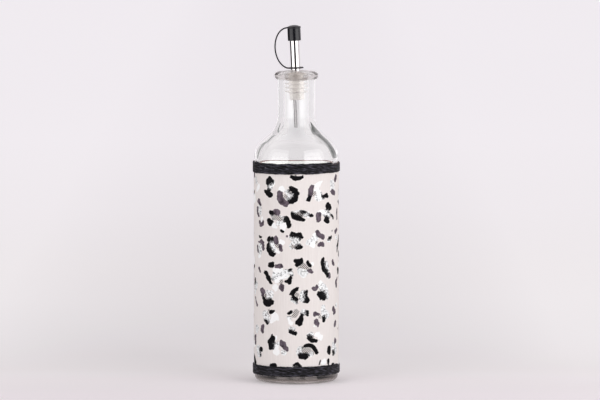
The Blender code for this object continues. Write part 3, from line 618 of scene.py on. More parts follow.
print(len(ROSETTES), "rosettes with", sum(len(strokes) for middle, strokes in ROSETTES), "strokes on the front")

# %% [markdown]
# The rest of the cloth, round the sides and the back, has the same print. Places are drawn at random, and each one that
# keeps clear of those already there gets a rosette picked from the same list, turned or mirrored. That fills the cloth
# about as evenly as a printed pattern. The random numbers are seeded, so that the print is the same every time.

# %% Rosettes for the sides and the back
SLEEVE_INNER, SLEEVE_OUTER = 32.9 * MM, 33.2 * MM
SLEEVE_BOTTOM, SLEEVE_TOP = 7.8 * MM, BODY_TOP - 5.5 * MM
SEAM_MM = 0.02
HALF_ROUND_MM = math.pi * SLEEVE_OUTER / MM
FRONT_MM = 45.0
LOWEST_SPOT_MM, HIGHEST_SPOT_MM = 8, 172
SPOT_CLEARANCE_MM = 15.0
SPOT_TURNS = (0, 65, 140, 180, 250)
TRIES = 4000

dice = random.Random(11)
large_rosettes = [strokes for middle, strokes in ROSETTES if len(strokes) > 4]
layout = list(ROSETTES)


def round_way(along):
    """The shorter way round the bottle between two places, in millimetres."""
    return min(abs(along), 2 * HALF_ROUND_MM - abs(along))


for _ in range(TRIES):
    along = dice.choice((-1, 1)) * dice.uniform(FRONT_MM, HALF_ROUND_MM)
    up = dice.uniform(LOWEST_SPOT_MM, HIGHEST_SPOT_MM)
    if any(math.hypot(round_way(along - x), up - y) < SPOT_CLEARANCE_MM for (x, y), others in layout):
        continue
    turn = math.radians(dice.choice(SPOT_TURNS))
    mirror = dice.choice((-1, 1))
    across, rising = math.cos(turn), math.sin(turn)
    turned_strokes = [
        (ink, *((mirror * (x * across - y * rising), x * rising + y * across, width) for x, y, width in points))
        for ink, *points in dice.choice(large_rosettes)
    ]
    layout.append(((along, up), turned_strokes))
print(len(layout), "rosettes in all")

# %% [markdown]
# The mesh has a point every 0.65 mm on its outer face, which is finer than a brush stroke is wide. For each stroke only
# the points near it are measured: the distance to a row of shrinking and growing circles, as a real brush leaves. A
# slow wobble shifts the points first, so that no edge is a perfect curve.

# %% Distance of every point of the cloth to the inks
CLOTH_STEP_MM = 0.65
INKS = ("foil", "hatch", "white", "plum", "black")
FAR_MM = -9.0
WOBBLES_MM = ((9.0, 0.35), (4.5, 0.3), (2.3, 0.2))
WAVES_EACH = 3
STROKE_MARGIN_MM = 2.0

columns = round((2 * HALF_ROUND_MM - SEAM_MM) / CLOTH_STEP_MM)
rows = round((SLEEVE_TOP - SLEEVE_BOTTOM) / MM / CLOTH_STEP_MM)
along_line = np.linspace(-HALF_ROUND_MM + SEAM_MM / 2, HALF_ROUND_MM - SEAM_MM / 2, columns + 1)
up_line = np.linspace(SLEEVE_BOTTOM / MM, SLEEVE_TOP / MM, rows + 1)
along_grid, up_grid = np.meshgrid(along_line, up_line)
wobble = np.random.default_rng(5)
wobbled_x, wobbled_y = along_grid.copy(), up_grid.copy()
for wavelength_mm, size_mm in WOBBLES_MM:
    for wobbled in (wobbled_x, wobbled_y):
        for _ in range(WAVES_EACH):
            turn, phase = wobble.uniform(0, 2 * math.pi, 2)
            wave = (along_grid * math.cos(turn) + up_grid * math.sin(turn)) * 2 * math.pi / wavelength_mm
            wobbled += size_mm / 2 * np.sin(wave + phase)
inked = {ink: np.full_like(along_grid, FAR_MM) for ink in INKS}


def paint_stroke(depth, points):
    """Raises the ink's depth at the points of the cloth that this stroke covers."""
    xs, ys, widths = zip(*points)
    reach = max(widths) + STROKE_MARGIN_MM
    first, last = np.searchsorted(along_line, (min(xs) - reach, max(xs) + reach))
    low, high = np.searchsorted(up_line, (min(ys) - reach, max(ys) + reach))
    window = (slice(low, high), slice(first, last))
    px, py = wobbled_x[window], wobbled_y[window]
    for (ax, ay, aw), (bx, by, bw) in zip(points, points[1:] or points):
        length = max((bx - ax) ** 2 + (by - ay) ** 2, 1e-6)
        share = np.clip(((px - ax) * (bx - ax) + (py - ay) * (by - ay)) / length, 0, 1)
        gap = np.hypot(px - ax - share * (bx - ax), py - ay - share * (by - ay))
        depth[window] = np.maximum(depth[window], aw + share * (bw - aw) - gap)


for (middle_x, middle_y), strokes in layout:
    for ink, *points in strokes:
        for once_round in (-2 * HALF_ROUND_MM, 0, 2 * HALF_ROUND_MM):
            paint_stroke(inked[ink], [(middle_x + once_round + x, middle_y + y, width) for x, y, width in points])
print("share of the cloth under each ink:", {ink: round(float((inked[ink] > 0).mean()), 3) for ink in INKS})

# %% [markdown]
# The cotton is a plain weave printed with pigment inks, and then with foil. The threads are about 0.35 mm apart, which
# is less than half a pixel in the photograph. What shows there is slubs, the thicker threads, as soft upright lines, so
# the colour follows noise stretched along the threads and the true weave is left to the bump. Pigment lies in the
# threads and stays matt. The foil is silver, crackled, and glossier, and lets the cloth's grain through. The hatched
# patches imitate a print screen. A real screen is finer, with half a millimetre between its lines, and is drawn with
# 1.2 mm here, since it would blur to a plain grey otherwise.

# %% Noise over the cloth
THREAD_MM = 0.35
CLOTH_GRAINS = (
    ("slubs", 1.1, 14.0, 2.0, 0.6), ("ragged edge", 0.55, 1.0, 2.0, 0.6), ("crackle", 1.6, 1.0, 3.0, 0.65),
    ("plum wash", 3.2, 1.0, 2.0, 0.6), ("dry brush", 0.6, 1.0, 3.0, 0.7),
)

printed_cotton, cloth_tree, cloth_shader = new_material(
    "plain-woven cotton, printed and foiled", Roughness=0.85, Specular_IOR_Level=0.15
)
stored = {}
for name in ("along_mm", "up_mm", *INKS):
    stored[name] = add_node(cloth_tree, "Attribute", attribute_name=name).outputs["Fac"]
cloth_place = add_node(cloth_tree, "CombineXYZ", stored["along_mm"], stored["up_mm"])
grains = {}
for name, width_mm, stretch, detail, roughness in CLOTH_GRAINS:
    spread = add_node(cloth_tree, "Mapping", cloth_place, Scale=(1 / width_mm, 1 / width_mm / stretch, 1))
    grains[name] = add_node(cloth_tree, "TexNoise", spread, Scale=1.0, Detail=detail, Roughness=roughness)
print("noises over the cloth:", list(grains))

# %% Colours of the inks
HATCH_MM, DIAGONAL = 1.2, 1.414

slub_share = add_node(cloth_tree, "MapRange", grains["slubs"], 0.2, 0.8)
cream = add_node(cloth_tree, "Mix", slub_share, "#E8E1DE", "#F0EAE7", data_type="RGBA")
near_black = add_node(cloth_tree, "MapRange", stored["black"], -2.6, 0.2)
worn_foil = add_node(cloth_tree, "Math", near_black, -0.13, grains["crackle"], operation="MULTIPLY_ADD")
worn_share = add_node(cloth_tree, "MapRange", worn_foil, 0.32, 0.54)
foil_colour = add_node(cloth_tree, "Mix", worn_share, "#6E6C6F", "#FBFCFC", data_type="RGBA")
lattice = []
for lean in (1.0, -1.0):
    slanted = add_node(cloth_tree, "VectorMath", cloth_place, (1.0, lean, 0), operation="DOT_PRODUCT")
    wave = add_node(cloth_tree, "Math", slanted, 2 * math.pi / HATCH_MM / DIAGONAL, operation="MULTIPLY")
    lattice.append(add_node(cloth_tree, "Math", wave, operation="SINE"))
screen = add_node(cloth_tree, "MapRange", add_node(cloth_tree, "Math", *lattice, operation="MAXIMUM"), 0.4, 0.75)
hatch_colour = add_node(cloth_tree, "Mix", screen, "#F0EAE6", "#241E22", data_type="RGBA")
wash = add_node(cloth_tree, "MapRange", grains["plum wash"], 0.32, 0.6)
plum_colour = add_node(cloth_tree, "Mix", wash, "#3A323A", "#6D616B", data_type="RGBA")
print("hatch lines", HATCH_MM, "mm apart")

# %% [markdown]
# The inks lie over each other in the order that they were printed. Each one reaches as far as its stored distance says,
# roughened at the edge by noise, and it fades in over a few tenths of a millimetre. The black was dragged on with a dry
# brush last, and breaks up where it crosses the foil.

# %% Printed cotton
PRINTING = (
    ("foil", foil_colour, 2.5, -0.6, -0.1),
    ("white", "#FFFFFF", 1.5, -0.25, 0.25),
    ("hatch", hatch_colour, 1.5, -0.3, 0.3),
    ("plum", plum_colour, 1.0, -0.25, 0.0),
    ("black", "#09080C", 1.4, -0.35, -0.15),
)

raggedness = add_node(cloth_tree, "MapRange", grains["ragged edge"], 0.2, 0.8, -0.22, 0.22)
broken = add_node(cloth_tree, "MapRange", grains["dry brush"], 0.3, 0.75, -0.6, 3.6)
painted, masks = cream, {}
for ink, colour, rough, edge_low, edge_high in PRINTING:
    reach = add_node(cloth_tree, "Math", raggedness, rough, stored[ink], operation="MULTIPLY_ADD")
    if ink == "black":
        reach = add_node(cloth_tree, "Math", broken, masks["foil"], reach, operation="MULTIPLY_ADD")
    masks[ink] = add_node(cloth_tree, "MapRange", reach, edge_low, edge_high)
    painted = add_node(cloth_tree, "Mix", masks[ink], painted, colour, data_type="RGBA")
threads = []
for axis in ("along_mm", "up_mm"):
    count = add_node(cloth_tree, "Math", stored[axis], math.pi / THREAD_MM, operation="MULTIPLY")
    threads.append(add_node(cloth_tree, "Math", count, operation="SINE"))
weave = add_node(cloth_tree, "Math", *threads, operation="MULTIPLY")
relief = add_node(cloth_tree, "Math", weave, 0.15, grains["slubs"], operation="MULTIPLY_ADD")
relief = add_node(cloth_tree, "Math", grains["crackle"], 0.1, relief, operation="MULTIPLY_ADD")
fill_inputs(
    cloth_shader,
    Base_Color=painted,
    Roughness=add_node(cloth_tree, "MapRange", masks["foil"], 0.0, 1.0, 0.85, 0.45),
    Metallic=add_node(cloth_tree, "MapRange", masks["foil"], 0.0, 1.0, 0.0, 0.25),
    Normal=add_node(cloth_tree, "Bump", Strength=0.5, Distance=0.12 * MM, Height=relief),
)
print("printed in the order", [ink for ink, *rest in PRINTING])

# %% [markdown]
# The sheet is 0.3 mm thick and closed all round. Its outer face carries the fine grid with the print. The inner face,
# seen only through the glass of the shoulder, is a few rows of long faces between the same columns. It is the
# unprinted side of the cotton, bleached, with a thin brown line of glue on top. It also glows a little: painted light,
# since the lamps reach it only through the glass and it would look grey otherwise. The sheet was glued on by hand, and
# at the back its top edge runs up to 4 mm higher than in front, as the shoulder shows. The glue is uneven, in blots of
# about a centimetre.

# %% Unprinted side of the cotton, with a painted glow, and its glue
GLUE_BLOT_MM = 11.11

# Painted light: the emission makes the unprinted cotton glow a little.
plain_cotton, plain_tree, plain_shader = new_material(
    "bleached plain-woven cotton", Roughness=0.85, Emission_Color="#FFFFFF", Emission_Strength=0.3
)
plain_place = add_node(plain_tree, "TexCoord").outputs["Object"]
plain_weave = add_node(plain_tree, "TexNoise", plain_place, Scale=1 / (THREAD_MM * MM), Detail=1.0)
fill_inputs(
    plain_shader,
    Base_Color=add_node(plain_tree, "ValToRGB", plain_weave, stops=((0.0, "#F6F1F0"), (1.0, "#FEFDFD"))),
    Normal=add_node(plain_tree, "Bump", Strength=0.3, Distance=0.1 * MM, Height=plain_weave),
)
dried_glue, glue_tree, glue_shader = new_material("dried brown wood glue", Roughness=0.4)
glue_place = add_node(glue_tree, "TexCoord").outputs["Object"]
blots = add_node(glue_tree, "TexNoise", glue_place, Scale=1 / (GLUE_BLOT_MM * MM))
glue_tone = add_node(glue_tree, "ValToRGB", blots, stops=((0.35, "#5E2220"), (0.65, "#9A5C58")))
fill_inputs(glue_shader, Base_Color=glue_tone)
print("inner materials:", plain_cotton.name, "and", dried_glue.name)

# %% Sleeve
BACK_RISE, RISING_LENGTH = 4.2 * MM, 30 * MM
GLUE_LINE = 1.6 * MM
INNER_LEVELS = (SLEEVE_BOTTOM, SLEEVE_TOP - RISING_LENGTH, SLEEVE_TOP - GLUE_LINE, SLEEVE_TOP)
PRINTED, PLAIN, GLUED = range(3)


def rise_at_back(share):
    """How much higher the glued edge runs: nothing on the front half, and most where the share, the back, is 1."""
    share = max(0.0, share)
    return BACK_RISE * share * share * (3 - 2 * share)


def on_cloth(along_mm, radius, z):
    """A point of the rolled-up cloth. It faces the viewer where along_mm is 0."""
    turn = along_mm / HALF_ROUND_MM * math.pi
    near_top = min(1.0, max(0.0, (z - SLEEVE_TOP) / RISING_LENGTH + 1))
    return (radius * math.sin(turn), -radius * math.cos(turn), z + near_top * rise_at_back(-math.cos(turn)))


wide = columns + 1
points = [on_cloth(along, SLEEVE_OUTER, up * MM) for up in up_line for along in along_line]
points += [on_cloth(along, SLEEVE_INNER, level) for level in INNER_LEVELS for along in along_line]
outer_starts = [row * wide for row in range(rows + 1)]
inner_starts = [(rows + 1 + level) * wide for level in range(len(INNER_LEVELS))]
bottom, belly, glue, top = inner_starts
bands = [(low, low + wide, PRINTED) for low in outer_starts[:-1]]
bands += [(belly, bottom, PLAIN), (glue, belly, PLAIN), (top, glue, GLUED)]
bands += [(bottom, 0, PRINTED), (outer_starts[-1], top, GLUED)]
faces, face_finish = [], []
for low, high, finish in bands:
    for column in range(columns):
        faces.append((low + column, low + column + 1, high + column + 1, high + column))
        face_finish.append(finish)
faces.append((*outer_starts, *inner_starts[::-1]))
faces.append((*[start + columns for start in outer_starts[::-1]], *[start + columns for start in inner_starts]))
face_finish += [PRINTED, PRINTED]
sleeve_mesh = bpy.data.meshes.new("sleeve")
sleeve_mesh.from_pydata(points, [], faces)
sleeve_mesh.polygons.foreach_set("material_index", face_finish)
for name, grid in {"along_mm": along_grid, "up_mm": up_grid, **inked}.items():
    inner_value = along_line if name == "along_mm" else np.full(wide, FAR_MM)
    numbers = np.concatenate((grid.ravel(), *[inner_value] * len(INNER_LEVELS)))
    store_values(sleeve_mesh, **{name: numbers.astype(np.float32)})
sleeve_mesh.shade_smooth()
sleeve_mesh.set_sharp_from_angle(angle=math.radians(SHARP_DEGREES))
for finish in (printed_cotton, plain_cotton, dried_glue):
    sleeve_mesh.materials.append(finish)
sleeve = put_in_scene("sleeve", sleeve_mesh)
dress(sleeve, "printed_fabric", "bottle", "fabric_sleeve")

# %% [markdown]
# Each band is one length of twisted paper twine, wound four and a half times over the sleeve's edge and glued, so its
# turns lie side by side. Rings stacked on each other would look like hoops, so the twine really winds: a flattened
# section is carried along a rising helix. The paper is twisted out of two strands, which makes a low ridge that runs
# round the section as it goes along, and a slow wobble keeps the turns from being perfect.
#
# The twine is dyed kraft paper, matt, and almost black. Its folds catch the light as fine slanting lines, and these
# are painted highlights: the colour follows noise that is stretched along the twist, from black to a lighter grey. Real
# folds are some 0.4 mm wide, and are drawn with 1.1 mm here, since they would vanish between the picture's pixels
# otherwise.

# %% Dyed paper twine
FOLD_MM, FOLD_LENGTH_MM, FOLD_SLANT = 1.1, 6.5, 0.16
GIRTH_MM = 4.2

dyed_paper, twine_tree, twine_shader = new_material("dyed kraft paper twine", Roughness=0.62, Specular_IOR_Level=0.2)
along_cord = add_node(twine_tree, "Attribute", attribute_name="cord_mm").outputs["Fac"]
round_cord = add_node(twine_tree, "Attribute", attribute_name="round_share").outputs["Fac"]
along_folds = add_node(twine_tree, "Math", along_cord, 1 / FOLD_LENGTH_MM, operation="MULTIPLY")
slant = add_node(twine_tree, "Math", along_cord, FOLD_SLANT, operation="MULTIPLY")
across_folds = add_node(twine_tree, "Math", round_cord, GIRTH_MM / FOLD_MM, slant, operation="MULTIPLY_ADD")
fold_place = add_node(twine_tree, "CombineXYZ", along_folds, across_folds)
folds = add_node(twine_tree, "TexNoise", fold_place, Scale=1.0, Detail=3.0, Roughness=0.6)
# Painted highlights: the lighter streaks in the colour stand for the folds catching the light.
fill_inputs(
    twine_shader,
    Base_Color=add_node(twine_tree, "ValToRGB", folds, stops=((0.5, "#020203"), (0.66, "#55535F"))),
    Normal=add_node(twine_tree, "Bump", Strength=1.0, Distance=0.3 * MM, Height=folds),
)
print("folds", FOLD_MM, "mm wide and", FOLD_LENGTH_MM, "mm long")

# %% Winding the bands
TWINE_HALF_HEIGHT, TWINE_HALF_DEPTH, TWINE_GAP = 1.03 * MM, 0.44 * MM, 0.05 * MM
TWINE_LOOPS, STEPS_PER_LOOP, SECTION_POINTS = 4.5, 420, 12
TWIST_MM, PLY_RIDGE, PRESSED = 5.5, 0.13, 0.95
SWAYS, SWAY_LENGTHS_MM, SWAY_PHASES, SWAY_SIZES_MM = 12, (4, 31), (0, 6.28), (0.02, 0.065)
SWAY_OUTWARD = 0.3
TAIL_MM, TAIL_LIFT = 3.0, 0.5 * MM
END_MM, END_SHARE = 1.2, 0.55


def twine_band(name, middle_z, pitch, end_degrees, seed, follow_edge=0.0):
    """One unbroken length of twine. Its upper end is at this angle, counted from the right-hand side."""
    sway = random.Random(seed)
    waves = [
        (sway.uniform(*SWAY_LENGTHS_MM), sway.uniform(*SWAY_PHASES), sway.uniform(*SWAY_SIZES_MM) * MM)
        for _ in range(SWAYS)
    ]
    count = round(TWINE_LOOPS * STEPS_PER_LOOP)
    lay = SLEEVE_OUTER + TWINE_GAP + TWINE_HALF_DEPTH
    loop_mm = 2 * math.pi * lay / MM
    verts, faces, cord_mm, round_share = [], [], [], []
    for step in range(count + 1):
        turn = math.radians(end_degrees) + 2 * math.pi * (step - count) / STEPS_PER_LOOP
        outward = Vector((math.cos(turn), math.sin(turn), 0))
        travelled = loop_mm * step / STEPS_PER_LOOP
        drift = sum(size * math.sin(travelled / wave * 2 * math.pi + phase) for wave, phase, size in waves)
        from_end = min(travelled, loop_mm * count / STEPS_PER_LOOP - travelled)
        lift = max(0.0, 1 - from_end / TAIL_MM) ** 2 * TAIL_LIFT
        middle = outward * (lay + lift + abs(drift) * SWAY_OUTWARD)
        middle.z = middle_z + pitch * (step - count / 2) / STEPS_PER_LOOP + drift
        middle.z += follow_edge * rise_at_back(math.sin(turn))
        narrowing = END_SHARE + (1 - END_SHARE) * min(1.0, from_end / END_MM)
        for k in range(SECTION_POINTS):
            angle = 2 * math.pi * k / SECTION_POINTS
            ply = 1 - PLY_RIDGE * (0.5 + 0.5 * math.cos(2 * angle - 4 * math.pi * travelled / TWIST_MM))
            out = max(math.sin(angle) * ply * narrowing, -PRESSED) * TWINE_HALF_DEPTH
            up = math.cos(angle) * TWINE_HALF_HEIGHT * ply * narrowing
            verts.append(middle + outward * out + Vector((0, 0, up)))
            cord_mm.append(travelled)
            round_share.append(abs(1 - 2 * k / SECTION_POINTS))
    for here in range(0, count * SECTION_POINTS, SECTION_POINTS):
        there = here + SECTION_POINTS
        for k in range(SECTION_POINTS):
            after = (k + 1) % SECTION_POINTS
            faces.append((here + k, here + after, there + after, there + k))
    faces.append(tuple(range(SECTION_POINTS))[::-1])
    faces.append(tuple(count * SECTION_POINTS + k for k in range(SECTION_POINTS)))
    mesh = bpy.data.meshes.new(name)
    mesh.from_pydata(verts, [], faces)
    store_values(mesh, cord_mm=cord_mm, round_share=round_share)
    mesh_data = bmesh.new()
    mesh_data.from_mesh(mesh)
    bmesh.ops.recalc_face_normals(mesh_data, faces=mesh_data.faces)
    mesh_data.to_mesh(mesh)
    mesh_data.free()
    mesh.shade_smooth()
    mesh.materials.append(dyed_paper)
    print(name, "holds", round(loop_mm * TWINE_LOOPS), "mm of twine")
    return put_in_scene(name, mesh)


TWINE_INSET = 2.4 * MM
upper_middle, lower_middle = SLEEVE_TOP - TWINE_INSET, SLEEVE_BOTTOM + TWINE_INSET
upper_band = twine_band("upper_band", upper_middle, pitch=1.58 * MM, end_degrees=-35.0, seed=3, follow_edge=0.45)
dress(upper_band, "paper_twine", "bottle", "upper_twine_band")
lower_band = twine_band("lower_band", lower_middle, pitch=1.48 * MM, end_degrees=-18.0, seed=8)
dress(lower_band, "paper_twine", "bottle", "lower_twine_band")

# %% [markdown]
# The pourer leans two and a half degrees to the left, about a point just inside the neck. Its pieces are turned about
# an upright axis and stood in place by one matrix. Heights on them count from that point, as in the CAD model.

# %% Where the pourer stands
LEAN = math.radians(-2.5)
PIVOT = Vector((0, 0, mouth - 9.4 * MM))
GAP = 0.3 * MM
HEAD_TOP = 8.8 * MM
CORE_BOTTOM = HEAD_TOP - 21.8 * MM
SPOUT_RADIUS, SPOUT_WALL = 3.7 * MM, 0.4 * MM
SPOUT_TIP = HEAD_TOP + 33.4 * MM

leaning = Matrix.Translation(PIVOT) @ Matrix.Rotation(LEAN, 4, "Y")
print("spout's tip at", [round(part / MM, 2) for part in leaning @ Vector((0, 0, SPOUT_TIP))], "mm")

# %% [markdown]
# The stopper is injection-moulded low-density polyethylene without any dye. Light goes a little way into it and comes
# out again, so it looks milky, and thin parts let the view through without bending it much. Refraction would turn the
# fins dark, because the light would have to find its way through a dozen surfaces. So the shader is a satin white whose
# alpha is low where the surface faces the eye, and rises towards the edges, where more plastic lies behind the surface.
# It is higher in the thick core and head too. Where the plastic lies right round the steel, in the seat and the holes
# below it, its colour is greyer: painted shade between plastic and tube, where the steel shows through.

# %% Milky polyethylene
MILK_CLOUD_MM = 3.846

milky_plastic, milk_tree, milk_shader = new_material(
    "natural low-density polyethylene", Roughness=0.4, IOR=1.51, Specular_IOR_Level=0.3
)
milk_place = add_node(milk_tree, "TexCoord").outputs["Object"]
milk_noise = add_node(milk_tree, "TexNoise", milk_place, Scale=1 / (MILK_CLOUD_MM * MM), Detail=2.0)
milk_tone = add_node(milk_tree, "ValToRGB", milk_noise, stops=((0.0, "#F1EAE7"), (1.0, "#F8F2EF")))
# Painted shade: the plastic is greyer where it lies right round the steel tube.
steel_behind = add_node(milk_tree, "Attribute", attribute_name="steel_behind").outputs["Fac"]
milk_depth = add_node(milk_tree, "Attribute", attribute_name="plastic_depth").outputs["Fac"]
milk_edge = add_node(milk_tree, "LayerWeight", Blend=0.4).outputs["Facing"]
thin_alpha = add_node(milk_tree, "MapRange", milk_edge, 0.0, 1.0, 0.2, 0.5)
thick_alpha = add_node(milk_tree, "MapRange", milk_edge, 0.0, 1.0, 0.5, 0.75)
fill_inputs(
    milk_shader,
    Base_Color=add_node(milk_tree, "Mix", steel_behind, milk_tone, "#D8D0CC", data_type="RGBA"),
    Alpha=add_node(milk_tree, "Mix", milk_depth, thin_alpha, thick_alpha, data_type="FLOAT"),
)
print("clouds", MILK_CLOUD_MM, "mm wide in the plastic")

# %% [markdown]
# The stopper has a head that sits in the mouth, four thin flexible fins that seal against the bore, and a core that
# holds the spout. The head and fins stand square in the bore and the core leans with the spout, so they are turned
# apart and joined with a Boolean, which also bores the seat of the spout, the vent hole and the pouring port. The
# fins curve upwards to their edges, as soft fins do once they are pushed in.

# %% Stopper
CORE_RADIUS, STEM_RADIUS = 5.9 * MM, 5.0 * MM
CORE_TAPER, CORE_BEVEL = 0.2 * MM, 0.5 * MM
HEAD_THICKNESS, HEAD_ROUND = 2.2 * MM, 0.4 * MM
CORE_FLOOR_TOP = CORE_BOTTOM + 1.5 * MM
SEAT_RADIUS = SPOUT_RADIUS + GAP
VENT_RADIUS = 1.2 * MM
VENT_OFFSET = SPOUT_RADIUS - SPOUT_WALL - GAP - VENT_RADIUS
PORT_RADIUS, PORT_OFFSET = 1.4 * MM, SEAT_RADIUS - 2.0 * MM
FINS, FIRST_FIN, FIN_PITCH = 4, 6.4 * MM, 3.1 * MM
FIN_EDGE_RADIUS = BORE_RADIUS - GAP
FIN_CURL, FIN_ROOT, FIN_THINNING = 0.6 * MM, 1.0 * MM, 0.55 * MM
FIN_POINTS = 6
STOPPER_STEPS = 96
CUT_BEYOND = 2 * MM


def fin_line(top):
    """A fin from its root's upper corner round its thin edge to its lower corner, curving up as it goes out."""
    shares = [k / FIN_POINTS for k in range(FIN_POINTS + 1)]
    upper = [(STEM_RADIUS + (FIN_EDGE_RADIUS - STEM_RADIUS) * s, top + FIN_CURL * s**2) for s in shares]
    lower = [(r, z - FIN_ROOT + FIN_THINNING * s) for s, (r, z) in zip(shares, upper)]
    return upper + lower[::-1]


def cut_or_join(operation, outline, offset=0.0):
    """A leaning turned tool, used once on the stopper."""
    stand = leaning @ Matrix.Translation((offset, 0, 0))
    tool = turned_piece("tool", outline, STOPPER_STEPS, milky_plastic, stand, closed=False)
    boolean = stopper.modifiers.new(operation, "BOOLEAN")
    boolean.operation = operation
    boolean.object = tool
    boolean.solver = "EXACT"
    evaluated = stopper.evaluated_get(bpy.context.evaluated_depsgraph_get())
    result = bpy.data.meshes.new_from_object(evaluated)
    stopper.modifiers.clear()
    stopper.data = result
    bpy.data.objects.remove(tool)


head_foot = HEAD_TOP - HEAD_THICKNESS
stopper_line = [(0, HEAD_TOP)]
stopper_line += arc(FIN_EDGE_RADIUS - HEAD_ROUND, HEAD_TOP - HEAD_ROUND, HEAD_ROUND, 90, 0, 6)
stopper_line += [(FIN_EDGE_RADIUS, head_foot), (STEM_RADIUS, head_foot)]
for fin_number in range(FINS):
    stopper_line += fin_line(HEAD_TOP - FIRST_FIN - FIN_PITCH * fin_number)
stopper_line.append((0, stopper_line[-1][1]))
upright = Matrix.Translation(PIVOT)
stopper = turned_piece("pourer_stopper", stopper_line, STOPPER_STEPS, milky_plastic, upright, closed=False)

core_top, core_foot = HEAD_TOP - HEAD_THICKNESS / 2, CORE_RADIUS - CORE_TAPER
core_line = [(0, core_top), (CORE_RADIUS, core_top), (core_foot, CORE_BOTTOM + CORE_BEVEL)]
core_line += [(core_foot - CORE_BEVEL, CORE_BOTTOM), (0, CORE_BOTTOM)]
cut_or_join("UNION", core_line)
for radius, offset, high, low in (
    (SEAT_RADIUS, 0.0, HEAD_TOP + CUT_BEYOND, CORE_FLOOR_TOP),
    (VENT_RADIUS + GAP, -VENT_OFFSET, CORE_FLOOR_TOP + CUT_BEYOND, CORE_BOTTOM - CUT_BEYOND),
    (PORT_RADIUS, PORT_OFFSET, CORE_FLOOR_TOP + CUT_BEYOND, CORE_BOTTOM - CUT_BEYOND),
):
    cut_or_join("DIFFERENCE", [(0, high), (radius, high), (radius, low), (0, low)], offset)
stopper.data.shade_smooth()
stopper.data.set_sharp_from_angle(angle=math.radians(SHARP_DEGREES))

# %% [markdown]
# The shader of the plastic has to know where the thick parts are, since light loses itself there. The thin fins and the
# head are one mesh with the core, so each point learns from its place how thick the plastic is, and whether it lies
# right round the steel tube, where the shader paints shade.

# %% Thickness of the plastic at each point
CORE_DEPTH, HEAD_DEPTH = 1.0, 0.6
CORE_MARGIN, HEAD_MARGIN, SEAT_MARGIN = 0.15 * MM, 0.6 * MM, 0.1 * MM

plastic_depth, near_steel = [], []
for vertex in stopper.data.vertices:
    local = leaning.inverted() @ vertex.co
    from_axis = math.hypot(local.x, local.y)
    in_core = from_axis < CORE_RADIUS + CORE_MARGIN
    in_head = local.z > head_foot - HEAD_MARGIN
    plastic_depth.append(CORE_DEPTH if in_core else HEAD_DEPTH if in_head else 0.0)
    near_steel.append(1.0 if from_axis < SEAT_RADIUS + SEAT_MARGIN else 0.0)
store_values(stopper.data, plastic_depth=plastic_depth, steel_behind=near_steel)
dress(stopper, "milky_plastic", "pourer", "stopper")

# %% [markdown]
# The spout is a thin tube of stainless steel, drawn and polished along its length. Drawing leaves hair lines that run
# up the tube, so the roughness follows noise that is stretched upwards, and a reflection stays sharp across the tube
# while it smears a little along it. Real hair lines are some hundredths of a millimetre wide, far too fine to show, and
# are drawn with a quarter of a millimetre. The tube's edge is flared to a small lip that holds the cap.

# %% Polished steel tube
HAIR_LINE_MM, HAIR_STRETCH = 0.25, 50

drawn_steel, steel_tree, steel_shader = new_material(
    "drawn and polished stainless steel", Base_Color="#DCDAD8", Metallic=1.0
)
steel_place = add_node(steel_tree, "TexCoord").outputs["Object"]
stretched = add_node(steel_tree, "Mapping", steel_place, Scale=(1, 1, 1 / HAIR_STRETCH))
hair_lines = add_node(steel_tree, "TexNoise", stretched, Scale=1 / (HAIR_LINE_MM * MM), Detail=2.0)
fill_inputs(
    steel_shader,
    Roughness=add_node(steel_tree, "MapRange", hair_lines, 0.0, 1.0, 0.05, 0.16),
    Normal=add_node(steel_tree, "Bump", Strength=0.15, Distance=0.02 * MM, Height=hair_lines),
)
print("hair lines drawn", HAIR_LINE_MM, "mm wide")

# %% Spout
FLARE = 0.25 * MM
FLARE_START, FLARE_MIDDLE, FLARE_THERE = SPOUT_TIP - 0.9 * MM, SPOUT_TIP - 0.55 * MM, 0.08 * MM
SPOUT_BOTTOM, SPOUT_BEVEL = CORE_FLOOR_TOP + GAP, 0.1 * MM
SPOUT_INNER = SPOUT_RADIUS - SPOUT_WALL
SPOUT_STEPS = 128

lip_r = SPOUT_RADIUS + FLARE - SPOUT_WALL / 2
spout_line = [(SPOUT_RADIUS, SPOUT_BOTTOM + SPOUT_BEVEL), (SPOUT_RADIUS, FLARE_START)]
spout_line += [(SPOUT_RADIUS + FLARE_THERE, FLARE_MIDDLE)]
spout_line += arc(lip_r, SPOUT_TIP - SPOUT_WALL / 2, SPOUT_WALL / 2, 0, 180, 10)
spout_line += [(SPOUT_INNER + FLARE_THERE, FLARE_MIDDLE), (SPOUT_INNER, FLARE_START)]
spout_line += [(SPOUT_INNER, SPOUT_BOTTOM + SPOUT_BEVEL)]
spout_line += [(SPOUT_INNER + SPOUT_BEVEL, SPOUT_BOTTOM), (SPOUT_RADIUS - SPOUT_BEVEL, SPOUT_BOTTOM)]
spout = turned_piece("spout", spout_line, SPOUT_STEPS, drawn_steel, leaning)
dress(spout, "polished_steel", "pourer", "spout_tube")

# %% [markdown]
# The vent tube is extruded clear plastic with a faint brown cast. It lets air into the bottle while the oil runs out
# beside it. A thin clear tube shows mostly as its two edges, where the light has to cross the most wall, so it gets a
# real bore, and a dark brown shader whose alpha is low in the middle and high at the edges. The dark edges are painted
# shade, for the light that the wall bends away there; only the faint cast is the tube's own colour.

# %% Vent tube
VENT_CLOUD_MM = 1.111
VENT_LOW, VENT_HIGH = CORE_BOTTOM - 22.4 * MM, SPOUT_TIP - 8.7 * MM
VENT_INNER, VENT_ROUND = VENT_RADIUS - 0.4 * MM, 0.08 * MM
VENT_STEPS = 64

